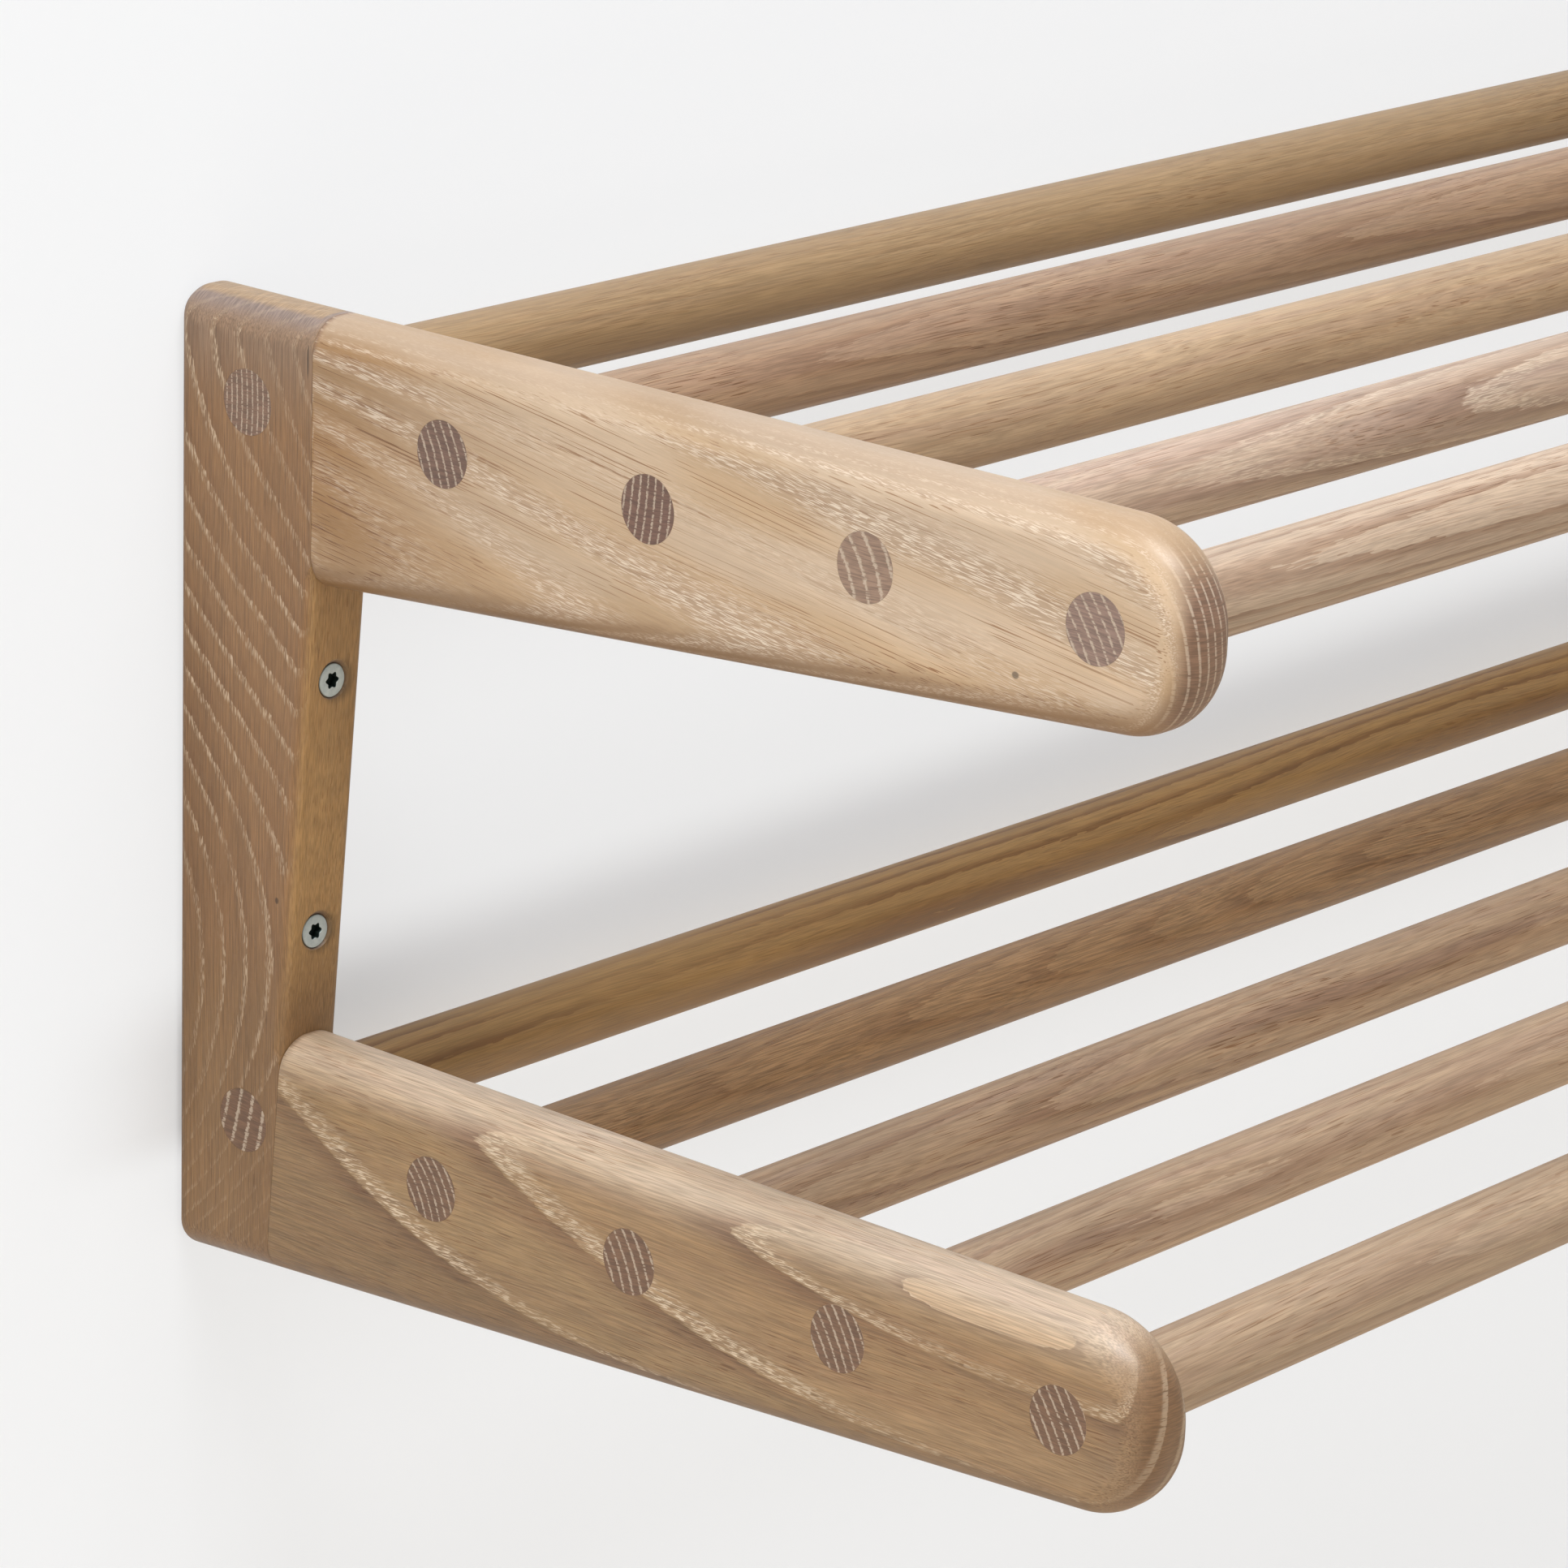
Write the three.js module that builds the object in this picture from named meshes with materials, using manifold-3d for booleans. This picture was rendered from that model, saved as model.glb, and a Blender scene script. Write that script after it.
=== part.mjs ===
// Wall-hung shoe shelf in oiled oak: two tiers of round rods between two C-shaped end frames.
// Sizes are in millimetres. +X runs along the rods, +Y into the wall and +Z up.
// The origin is on the wall plane, midway between the end frames, level with the upper wall screws.

import * as THREE from 'three';
import { mergeVertices } from 'three/addons/utils/BufferGeometryUtils.js';
import Module from 'manifold-3d';

const wasm = await Module();
wasm.setup();

// Overall and rod sizes

const LENGTH = 800; // from one outer face to the other
const BOARD = 22; // thickness of the frame boards
const ROD_DIAMETER = 22;
const TENON_DIAMETER = 18; // turned end of a rod, which goes through the frame
const ROD_CHAMFER = 0.6;
const RODS_PER_TIER = 5;
const ROD_PITCH = 72; // between the axes of neighbouring rods
const TIER_DISTANCE = 202; // from the lower rods' axes to the upper ones

// End frames

const FIRST_ROD_TO_WALL = 26.5;
const RIM_OVER_RODS = 26.6; // from the rods' axes up to the top edge of an arm
const NOSE_PAST_ROD = 27.4; // from the last rod's axis to the tip of the nose
const NOSE_TOP_RADIUS = 26;
const NOSE_BOTTOM_RADIUS = 23.5;
const UPPER_ARM = { dropAtFirstRod: 48.7, dropAtLastRod: 27.1 }; // underside, below the rods' axes
const LOWER_ARM = { dropAtFirstRod: 43.3, dropAtLastRod: 25.2 };
const UPRIGHT_DEPTH = 50.8; // behind the upper arm
const WOOD_AHEAD_OF_TENON = 3.4; // between the lower rear tenon and the tapered front face
const BACK_CORNER_RADIUS = 3;
const OUTER_ROUNDING = 9.5; // round-over along the arms, the nose and the frame's top and bottom
const EDGE_ROUNDING = 3.5; // along the upright's back edges, and its front edges between the arms
const EDGE_RUN_OUT = 14; // where the front rounding fades, next to an arm
const HALF_RUN_OUT_SHARE = 0.7; // of that rounding, half way along the run-out

// Joints and fasteners

const GLUE_LINE = 0.3; // room left where two pieces meet
const DOWEL_DIAMETER = 8;
const DOWEL_LENGTH = 36;
const DOWEL_CHAMFER = 1;
const DOWEL_ABOVE_RODS = 16;
const DOWEL_BELOW_RODS = 22;
const UPPER_SCREW_BELOW_RODS = 74;
const SCREW_PITCH = 72;
const SCREW_LENGTH = 90;
const SCREW_DIAMETER = 5;
const SCREW_TIP = 7;
const SCREW_HEAD_DIAMETER = 9.3;
const SCREW_HEAD_RIM = 0.3;
const SCREW_SINK = 0.5; // head below the wood at its centre
const SCREW_CLEARANCE = 0.3;
const COUNTERSINK_OVERRUN = 2; // how far the cutter goes on in front of the wood
const SOCKET_RADIUS = 2.05;
const SOCKET_LOBE = 0.32;
const SOCKET_LOBES = 6;
const SOCKET_DEPTH = 2.2;

// Fineness of round surfaces

const ROUND_SIDES = 24;
const DOWEL_SIDES = 12;
const POINTS_PER_LOBE = 4;
const ROUNDING_STEPS = 5;
const NOSE_STEPS = 7;
const CORNER_STEPS = 3;
const SAME_POINT = 1e-4; // corners nearer to each other than this are one

// Places worked out from the sizes

const UPPER_RODS_Z = UPPER_SCREW_BELOW_RODS;
const LOWER_RODS_Z = UPPER_RODS_Z - TIER_DISTANCE;
const FRAME_TOP_Z = UPPER_RODS_Z + RIM_OVER_RODS;
const LAST_ROD_Y = -FIRST_ROD_TO_WALL - (RODS_PER_TIER - 1) * ROD_PITCH;
const NOSE_Y = LAST_ROD_Y - NOSE_PAST_ROD;
const LOWER_DEPTH = FIRST_ROD_TO_WALL + TENON_DIAMETER / 2 + WOOD_AHEAD_OF_TENON;
const BOARD_MIDDLE = BOARD / 2;
const LEFT_FRAME_X = -LENGTH / 2;
const RIGHT_FRAME_X = LENGTH / 2 - BOARD;

const rodY = (index) => -FIRST_ROD_TO_WALL - index * ROD_PITCH;

// Underside of an arm as a straight line, given where it passes below the first and the last rod.
function undersideOf(arm, rodsZ) {
  const rise = (arm.dropAtFirstRod - arm.dropAtLastRod) / (rodY(0) - LAST_ROD_Y);
  return { rise, at: (y) => rodsZ - arm.dropAtFirstRod + rise * (rodY(0) - y) };
}

const upperUnderside = undersideOf(UPPER_ARM, UPPER_RODS_Z);
const lowerUnderside = undersideOf(LOWER_ARM, LOWER_RODS_Z);

// Front of the upright: plumb behind the upper arm, then tapering towards the wall.
const TAPER_START_Z = upperUnderside.at(-UPRIGHT_DEPTH);
const TAPER = (UPRIGHT_DEPTH - LOWER_DEPTH) / (TAPER_START_Z - LOWER_RODS_Z);
const frontY = (z) => -UPRIGHT_DEPTH + TAPER * Math.max(0, TAPER_START_Z - z);

// Where the tapered front, or a line that runs this far in front of it, meets the frame's underside.
function footOfFront(forward) {
  const base = -UPRIGHT_DEPTH + TAPER * TAPER_START_Z - forward;
  const z = (lowerUnderside.at(0) - lowerUnderside.rise * base) / (1 - lowerUnderside.rise * TAPER);
  return new THREE.Vector2(base - TAPER * z, z);
}

// Boards as a stack of slices

// How far an edge with this round-over is drawn in, at a depth below the board's face.
function drawIn(radius, depth) {
  if (depth >= radius) return 0;
  return radius - Math.sqrt(radius ** 2 - (radius - depth) ** 2);
}

// A move says which way a point goes when its edge is drawn in, and with what round-over.
const move = (inward, rounding) => ({ inward, rounding });
const outlinePoint = (y, z, ...moves) => ({ place: new THREE.Vector2(y, z), moves });

// Places round an arc, each with the way out from its centre.
function arc(y, z, radius, fromDeg, toDeg, steps) {
  return Array.from({ length: steps + 1 }, (_, i) => {
    const angle = THREE.MathUtils.degToRad(fromDeg + ((toDeg - fromDeg) * i) / steps);
    const out = new THREE.Vector2(Math.cos(angle), Math.sin(angle));
    return { out, y: y + radius * out.x, z: z + radius * out.y };
  });
}

// Part of a nose, drawn in towards the centre of its arc.
function noseArc(centreY, centreZ, radius, fromDeg, toDeg) {
  return arc(centreY, centreZ, radius, fromDeg, toDeg, NOSE_STEPS).map(({ out, y, z }) => (
    outlinePoint(y, z, move(out.clone().negate(), OUTER_ROUNDING))
  ));
}

// A small corner where two edges with their own round-overs meet: all of it moves with both.
function backCorner(centreZ, fromDeg, toDeg, ...moves) {
  const points = arc(-BACK_CORNER_RADIUS, centreZ, BACK_CORNER_RADIUS, fromDeg, toDeg, CORNER_STEPS);
  return points.map(({ y, z }) => outlinePoint(y, z, ...moves));
}

// A board from its side outline, counter-clockwise in Y and Z, from face to face along X.
function board(outline) {
  const depths = [];
  for (let i = 0; i <= ROUNDING_STEPS; i += 1) {
    depths.push(OUTER_ROUNDING * (1 - Math.cos((Math.PI / 2) * (i / ROUNDING_STEPS))));
  }
  const slices = depths.map((depth) => ({ x: depth, depth }));
  slices.push(...depths.map((depth) => ({ x: BOARD - depth, depth })).reverse());
  const positions = [];
  for (const { x, depth } of slices) {
    for (const { place, moves } of outline) {
      const moved = place.clone();
      for (const { inward, rounding } of moves) moved.addScaledVector(inward, drawIn(rounding, depth));
      positions.push(x, moved.x, moved.y);
    }
  }
  return closedStack(positions, slices.length, outline.length);
}

// Joins a stack of equal rings into one closed body, with a flat cap at each end.
function closedStack(positions, rings, size) {
  const indices = [];
  for (let ring = 0; ring < rings - 1; ring += 1) {
    for (let i = 0; i < size; i += 1) {
      const a = ring * size + i;
      const b = ring * size + ((i + 1) % size);
      indices.push(a, b, b + size, a, b + size, a + size);
    }
  }
  const flat = (ring) => Array.from({ length: size }, (_, i) => {
    const at = 3 * (ring * size + i);
    return new THREE.Vector2(positions[at + 1], positions[at + 2]);
  });
  for (const [a, b, c] of THREE.ShapeUtils.triangulateShape(flat(0), [])) indices.push(a, c, b);
  const last = (rings - 1) * size;
  for (const [a, b, c] of THREE.ShapeUtils.triangulateShape(flat(rings - 1), [])) {
    indices.push(last + a, last + b, last + c);
  }
  const geometry = new THREE.BufferGeometry();
  geometry.setAttribute('position', new THREE.Float32BufferAttribute(positions, 3));
  geometry.setIndex(indices);
  return geometry;
}

// Cutting one solid with others

function toSolid(geometry) {
  const bare = geometry.clone();
  bare.deleteAttribute('normal');
  bare.deleteAttribute('uv');
  const merged = mergeVertices(bare, SAME_POINT);
  const vertProperties = new Float32Array(merged.attributes.position.array);
  const triVerts = new Uint32Array(merged.index.array);
  return new wasm.Manifold(new wasm.Mesh({ numProp: 3, vertProperties, triVerts }));
}

function toGeometry(solid) {
  const mesh = solid.getMesh();
  const geometry = new THREE.BufferGeometry();
  geometry.setAttribute('position', new THREE.BufferAttribute(new Float32Array(mesh.vertProperties), 3));
  geometry.setIndex(Array.from(mesh.triVerts));
  return geometry;
}

function cut(geometry, tools) {
  let solid = toSolid(geometry);
  for (const tool of tools) solid = solid.subtract(toSolid(tool));
  return toGeometry(solid);
}

// Round shapes

// A turned shape: pairs of distance along the axis and radius, from axis to axis.
function turned(pairs, sides = ROUND_SIDES) {
  const profile = pairs.map(([along, radius]) => new THREE.Vector2(radius, along));
  return new THREE.LatheGeometry(profile, sides);
}

const alongX = (geometry) => geometry.rotateZ(-Math.PI / 2);

// The whole of a shape that is alike at both ends, from the pairs of one end.
const bothEnds = (half) => [...half.map(([along, radius]) => [-along, radius]).reverse(), ...half];

function plainCylinder(diameter, length) {
  return turned(bothEnds([[length / 2, diameter / 2], [length / 2, 0]]));
}

// Holes

function rodHole(index, rodsZ) {
  const hole = alongX(plainCylinder(TENON_DIAMETER + 2 * GLUE_LINE, BOARD + TENON_DIAMETER));
  return hole.translate(BOARD_MIDDLE, rodY(index), rodsZ);
}

const dowelHeights = (rodsZ) => [rodsZ + DOWEL_ABOVE_RODS, rodsZ - DOWEL_BELOW_RODS];

// The hole is cut across the joint, so that half of it is left in the arm and half in the upright.
function dowelHole(z) {
  const hole = plainCylinder(DOWEL_DIAMETER + 2 * GLUE_LINE, DOWEL_LENGTH + 2 * GLUE_LINE);
  return hole.translate(BOARD_MIDDLE, frontY(z) - GLUE_LINE / 2, z);
}

const SCREW_HEIGHTS = [0, -SCREW_PITCH];
const screwHeadY = (z) => frontY(z) + SCREW_SINK;

// A countersink with a clear hole for the shank behind it, open at the front and at the wall.
function screwHole(z) {
  const headRadius = SCREW_HEAD_DIAMETER / 2 + SCREW_CLEARANCE;
  const shankRadius = SCREW_DIAMETER / 2 + SCREW_CLEARANCE;
  const through = UPRIGHT_DEPTH + COUNTERSINK_OVERRUN;
  const hole = turned([
    [-COUNTERSINK_OVERRUN, 0],
    [-COUNTERSINK_OVERRUN, headRadius + COUNTERSINK_OVERRUN],
    [SCREW_HEAD_RIM, headRadius],
    [SCREW_HEAD_RIM + headRadius - shankRadius, shankRadius],
    [through, shankRadius],
    [through, 0],
  ]);
  return hole.translate(BOARD_MIDDLE, screwHeadY(z), z);
}

// Pieces

// An arm: level top, round nose, rising underside, and a butt end that follows the upright's front.
function armGeometry(rodsZ, bottom, buttCorner) {
  const top = rodsZ + RIM_OVER_RODS;
  const buttTop = new THREE.Vector2(frontY(top) - GLUE_LINE, top);
  const slopeDeg = THREE.MathUtils.radToDeg(Math.atan(bottom.rise));
  const slant = Math.hypot(1, bottom.rise);
  const lowerY = NOSE_Y + NOSE_BOTTOM_RADIUS;
  const lowerZ = bottom.at(lowerY) + NOSE_BOTTOM_RADIUS * slant;
  const upTheButt = buttTop.clone().sub(buttCorner).normalize();
  const outOfUnderside = new THREE.Vector2(bottom.rise, 1).divideScalar(slant);
  const outline = [
    outlinePoint(buttTop.x, buttTop.y, move(upTheButt.clone().divideScalar(-upTheButt.y), OUTER_ROUNDING)),
    ...noseArc(NOSE_Y + NOSE_TOP_RADIUS, top - NOSE_TOP_RADIUS, NOSE_TOP_RADIUS, 90, 180),
    ...noseArc(lowerY, lowerZ, NOSE_BOTTOM_RADIUS, 180, 270 - slopeDeg),
    outlinePoint(buttCorner.x, buttCorner.y,
      move(upTheButt.clone().divideScalar(upTheButt.dot(outOfUnderside)), OUTER_ROUNDING)),
  ];
  const holes = [];
  for (let index = 1; index < RODS_PER_TIER; index += 1) holes.push(rodHole(index, rodsZ));
  return cut(board(outline), [...holes, ...dowelHeights(rodsZ).map(dowelHole)]);
}

function upperArm() {
  const y = -UPRIGHT_DEPTH - GLUE_LINE;
  return armGeometry(UPPER_RODS_Z, upperUnderside, new THREE.Vector2(y, upperUnderside.at(y)));
}

const lowerArm = () => armGeometry(LOWER_RODS_Z, lowerUnderside, footOfFront(GLUE_LINE));

// The front edge of the upright from the upper arm down to the lower one, eased between them.
function uprightFront() {
  const lowerArmTop = LOWER_RODS_Z + RIM_OVER_RODS;
  const half = EDGE_RUN_OUT / 2;
  const backwards = new THREE.Vector2(1, TAPER).normalize();
  const front = (z, rounding) => outlinePoint(frontY(z), z, move(backwards, rounding));
  return [
    front(TAPER_START_Z, 0),
    front(TAPER_START_Z - half, EDGE_ROUNDING * HALF_RUN_OUT_SHARE),
    front(TAPER_START_Z - EDGE_RUN_OUT, EDGE_ROUNDING),
    front(lowerArmTop + EDGE_RUN_OUT, EDGE_ROUNDING),
    front(lowerArmTop, EDGE_ROUNDING * HALF_RUN_OUT_SHARE),
    front(lowerArmTop - half, 0),
  ];
}

// The upright: its top and bottom share the arms' round-over, which runs out over the back.
function upright() {
  const foot = footOfFront(0);
  const { rise } = lowerUnderside;
  const slant = Math.hypot(1, rise);
  const slopeDeg = THREE.MathUtils.radToDeg(Math.atan(rise));
  const lowZ = lowerUnderside.at(-BACK_CORNER_RADIUS) + BACK_CORNER_RADIUS * slant;
  const upTheFront = new THREE.Vector2(-TAPER, 1).normalize();
  const outOfUnderside = new THREE.Vector2(rise, 1).divideScalar(slant);
  const alongFoot = upTheFront.clone().divideScalar(upTheFront.dot(outOfUnderside));
  const down = new THREE.Vector2(0, -1);
  const outline = [
    outlinePoint(-UPRIGHT_DEPTH, FRAME_TOP_Z, move(down, OUTER_ROUNDING)),
    ...uprightFront(),
    outlinePoint(foot.x, foot.y, move(alongFoot, OUTER_ROUNDING)),
    ...backCorner(lowZ, 270 - slopeDeg, 360,
      move(new THREE.Vector2(0, slant), OUTER_ROUNDING), move(new THREE.Vector2(-1, rise), EDGE_ROUNDING)),
    ...backCorner(FRAME_TOP_Z - BACK_CORNER_RADIUS, 0, 90,
      move(down, OUTER_ROUNDING), move(new THREE.Vector2(-1, 0), EDGE_ROUNDING)),
  ];
  const dowels = [UPPER_RODS_Z, LOWER_RODS_Z].flatMap(dowelHeights);
  return cut(board(outline), [
    rodHole(0, UPPER_RODS_Z),
    rodHole(0, LOWER_RODS_Z),
    ...dowels.map(dowelHole),
    ...SCREW_HEIGHTS.map(screwHole),
  ]);
}

// A rod, turned down at both ends to tenons that reach the outer faces of the frames.
function rod() {
  const end = LENGTH / 2;
  const shoulder = end - BOARD - GLUE_LINE;
  return alongX(turned(bothEnds([
    [shoulder - ROD_CHAMFER, ROD_DIAMETER / 2],
    [shoulder, ROD_DIAMETER / 2 - ROD_CHAMFER],
    [shoulder, TENON_DIAMETER / 2],
    [end, TENON_DIAMETER / 2],
    [end, 0],
  ])));
}

function jointDowel() {
  return turned(bothEnds([
    [DOWEL_LENGTH / 2 - DOWEL_CHAMFER, DOWEL_DIAMETER / 2],
    [DOWEL_LENGTH / 2, DOWEL_DIAMETER / 2 - DOWEL_CHAMFER],
    [DOWEL_LENGTH / 2, 0],
  ]), DOWEL_SIDES);
}

// A countersunk screw along +Y, with the flat of its head at the origin and a six-lobe socket in it.
function wallScrew() {
  const headRadius = SCREW_HEAD_DIAMETER / 2;
  const shankRadius = SCREW_DIAMETER / 2;
  const blank = turned([
    [0, 0],
    [0, headRadius],
    [SCREW_HEAD_RIM, headRadius],
    [SCREW_HEAD_RIM + headRadius - shankRadius, shankRadius],
    [SCREW_LENGTH - SCREW_TIP, shankRadius],
    [SCREW_LENGTH, 0],
  ]);
  const points = SOCKET_LOBES * POINTS_PER_LOBE;
  const outline = Array.from({ length: points }, (_, i) => {
    const angle = (2 * Math.PI * i) / points;
    const radius = SOCKET_RADIUS + SOCKET_LOBE * Math.cos(SOCKET_LOBES * angle);
    return new THREE.Vector2(radius * Math.cos(angle), radius * Math.sin(angle));
  });
  const settings = { depth: 2 * SOCKET_DEPTH, bevelEnabled: false };
  const socket = new THREE.ExtrudeGeometry(new THREE.Shape(outline), settings);
  socket.translate(0, 0, -SOCKET_DEPTH);
  return cut(blank, [socket.rotateX(-Math.PI / 2)]);
}

// Finishes

const finish = (color, roughness, metalness = 0) => () => (
  new THREE.MeshStandardMaterial({ color, roughness, metalness })
);
const uprightOak = finish('#a58868', 0.62);
const upperArmOak = finish('#c9ab88', 0.6);
const lowerArmOak = finish('#b5946f', 0.62);
const rodOak = finish('#ab8b69', 0.6);
const beech = finish('#cfae82', 0.75);
const zinc = finish('#b9bcbb', 0.35, 0.9);

// Assembly

const shelf = new THREE.Group();

function place(group, name, geometry, material, x, y, z) {
  const mesh = new THREE.Mesh(geometry, material());
  mesh.name = name;
  mesh.position.set(x, y, z);
  group.add(mesh);
}

function endFrame(side, x) {
  const frame = new THREE.Group();
  frame.position.x = x;
  place(frame, `${side}_upright`, upright(), uprightOak, 0, 0, 0);
  place(frame, `${side}_upper_arm`, upperArm(), upperArmOak, 0, 0, 0);
  place(frame, `${side}_lower_arm`, lowerArm(), lowerArmOak, 0, 0, 0);
  for (const [level, rodsZ] of [['upper', UPPER_RODS_Z], ['lower', LOWER_RODS_Z]]) {
    dowelHeights(rodsZ).forEach((z, i) => {
      const name = `${side}_${level}_joint_dowel_${i + 1}`;
      place(frame, name, jointDowel(), beech, BOARD_MIDDLE, frontY(z) - GLUE_LINE / 2, z);
    });
  }
  SCREW_HEIGHTS.forEach((z, i) => {
    const name = `${side}_${['upper', 'lower'][i]}_wall_screw`;
    place(frame, name, wallScrew(), zinc, BOARD_MIDDLE, screwHeadY(z), z);
  });
  return frame;
}

function tier(name, rodsZ) {
  const rods = new THREE.Group();
  rods.position.z = rodsZ;
  for (let index = 0; index < RODS_PER_TIER; index += 1) {
    place(rods, `${name}_rod_${index + 1}`, rod(), rodOak, 0, rodY(index), 0);
  }
  return rods;
}

shelf.add(endFrame('left', LEFT_FRAME_X));
shelf.add(endFrame('right', RIGHT_FRAME_X));
shelf.add(tier('upper', UPPER_RODS_Z));
shelf.add(tier('lower', LOWER_RODS_Z));

export default shelf;
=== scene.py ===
# Wall-hung shoe shelf in oiled oak, dressed for its product photograph.
# Everything is in metres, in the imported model's frame: +X along the rods, +Y into the wall, +Z up.

import math

import bpy
import numpy as np
from mathutils import Matrix, Vector
from mathutils.geometry import delaunay_2d_cdt


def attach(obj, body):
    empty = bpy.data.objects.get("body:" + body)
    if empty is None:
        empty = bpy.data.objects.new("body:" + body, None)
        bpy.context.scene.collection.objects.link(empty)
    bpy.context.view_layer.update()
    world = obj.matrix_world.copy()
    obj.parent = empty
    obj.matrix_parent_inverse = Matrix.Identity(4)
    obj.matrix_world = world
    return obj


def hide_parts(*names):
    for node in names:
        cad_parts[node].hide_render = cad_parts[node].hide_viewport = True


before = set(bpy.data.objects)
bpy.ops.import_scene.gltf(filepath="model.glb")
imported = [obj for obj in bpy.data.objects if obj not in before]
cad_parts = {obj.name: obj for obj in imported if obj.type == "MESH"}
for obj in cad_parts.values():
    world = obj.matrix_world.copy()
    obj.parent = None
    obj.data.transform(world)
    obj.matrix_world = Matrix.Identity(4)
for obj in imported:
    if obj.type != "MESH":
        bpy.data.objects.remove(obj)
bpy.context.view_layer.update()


# The photo set: a white wall that the shelf hangs on, a pale floor below it, and a long lens
# that looks from the left and a little from above. Wall and floor show from their front only.

def pigment(red, green, blue):
    """Linear colour of a measured sRGB colour, each channel by the sRGB curve."""
    value = np.array((red, green, blue)) / 255
    linear = np.where(value <= 0.04045, value / 12.92, ((value + 0.055) / 1.055) ** 2.4)
    return (*linear.tolist(), 1.0)


PLAIN_SHARE = 0.7
# HELD_SHARE is the plain white left inside a painted shade band.
HELD_SHARE = 0.28


def paper_white(name, matt_colour, kept=()):
    """Matt paint seen from the front only, partly lit and partly plain white to the camera, so that shadows
    stay soft. Over each kept range of x or z the plain white is held back, which paints a band of shade there
    on top of the real shadow."""
    material = bpy.data.materials.new(name)
    material.use_nodes = True
    tree = material.node_tree
    tree.nodes.clear()
    matt = tree.nodes.new("ShaderNodeBsdfDiffuse")
    matt.inputs["Color"].default_value = matt_colour
    plain = tree.nodes.new("ShaderNodeEmission")
    plain.inputs["Color"].default_value = (0.96, 0.96, 0.96, 1)
    ray = tree.nodes.new("ShaderNodeLightPath")
    where = tree.nodes.new("ShaderNodeTexCoord")
    place = tree.nodes.new("ShaderNodeSeparateXYZ")
    tree.links.new(where.outputs["Object"], place.inputs[0])
    hold = None
    for axis, start, full in kept:
        ramp = tree.nodes.new("ShaderNodeMapRange")
        ramp.interpolation_type = "SMOOTHSTEP"
        ramp.inputs["From Min"].default_value = start
        ramp.inputs["From Max"].default_value = full
        tree.links.new(place.outputs[axis], ramp.inputs["Value"])
        if hold:
            both = tree.nodes.new("ShaderNodeMath")
            both.operation = "MULTIPLY"
            tree.links.new(hold, both.inputs[0])
            tree.links.new(ramp.outputs[0], both.inputs[1])
            hold = both.outputs[0]
        else:
            hold = ramp.outputs[0]
    seen = tree.nodes.new("ShaderNodeMath")
    seen.operation = "MULTIPLY"
    seen.inputs[1].default_value = PLAIN_SHARE
    if hold:
        share = tree.nodes.new("ShaderNodeMapRange")
        share.inputs["To Min"].default_value = PLAIN_SHARE
        share.inputs["To Max"].default_value = HELD_SHARE
        tree.links.new(hold, share.inputs["Value"])
        tree.links.new(share.outputs[0], seen.inputs[1])
    front = tree.nodes.new("ShaderNodeMixShader")
    side = tree.nodes.new("ShaderNodeNewGeometry")
    clear = tree.nodes.new("ShaderNodeBsdfTransparent")
    sheet = tree.nodes.new("ShaderNodeMixShader")
    out = tree.nodes.new("ShaderNodeOutputMaterial")
    tree.links.new(ray.outputs["Is Camera Ray"], seen.inputs[0])
    tree.links.new(seen.outputs[0], front.inputs[0])
    tree.links.new(matt.outputs[0], front.inputs[1])
    tree.links.new(plain.outputs[0], front.inputs[2])
    tree.links.new(side.outputs["Backfacing"], sheet.inputs[0])
    tree.links.new(front.outputs[0], sheet.inputs[1])
    tree.links.new(clear.outputs[0], sheet.inputs[2])
    tree.links.new(sheet.outputs[0], out.inputs["Surface"])
    return material


def backdrop(name, paper, corners):
    """One flat sheet from its four corners, counter-clockwise as seen from its white side."""
    mesh = bpy.data.meshes.new(name)
    mesh.from_pydata(corners, [], [(0, 1, 2, 3)])
    mesh.materials.append(paper)
    sheet = bpy.data.objects.new(name, mesh)
    bpy.context.scene.collection.objects.link(sheet)


FLOOR_Z = -0.62
WALL_Y = 0.0005
WALL_TOP_Z = 5
REACH = 6
# Painted shadow: a darker band on the wall between the uprights, just above the lower rear rod.
painted_shadow_band = [("X", -0.46, -0.38), ("X", 0.46, 0.38), ("Z", -0.088, -0.118), ("Z", -0.150, -0.136)]
backdrop("wall", paper_white("wall_paint", (0.825, 0.868, 0.925, 1), painted_shadow_band),
         [(-REACH, WALL_Y, FLOOR_Z), (REACH, WALL_Y, FLOOR_Z),
          (REACH, WALL_Y, WALL_TOP_Z), (-REACH, WALL_Y, WALL_TOP_Z)])
backdrop("floor", paper_white("floor_paint", (0.8, 0.68, 0.54, 1)),
         [(-REACH, -REACH, FLOOR_Z), (REACH, -REACH, FLOOR_Z),
          (REACH, REACH, FLOOR_Z), (-REACH, REACH, FLOOR_Z)])

camera = bpy.data.objects.new("camera", bpy.data.cameras.new("camera"))
bpy.context.scene.collection.objects.link(camera)
camera.data.sensor_width = 36
camera.data.lens = 148.57
forward = Vector((0.7177, 0.6274, -0.3020)).normalized()
upward = Vector((0.2060, 0.2230, 0.9528))
right = forward.cross(upward).normalized()
upward = right.cross(forward)
camera.matrix_world = Matrix.Translation((-1.5514, -1.2252, 0.4978)) @ Matrix(
    (right, upward, -forward)
).transposed().to_4x4()
camera.data.clip_start = 0.05
bpy.context.scene.camera = camera
bpy.context.scene.view_settings.view_transform = "Standard"


def softbox(name, place, target, width, height, watts):
    """A rectangular lamp that faces a point of the object."""
    lamp = bpy.data.objects.new(name, bpy.data.lights.new(name, "AREA"))
    lamp.data.shape = "RECTANGLE"
    lamp.data.size = width
    lamp.data.size_y = height
    lamp.data.energy = watts
    lamp.location = place
    lamp.rotation_euler = (Vector(target) - Vector(place)).to_track_quat("-Z", "Y").to_euler()
    bpy.context.scene.collection.objects.link(lamp)


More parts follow.
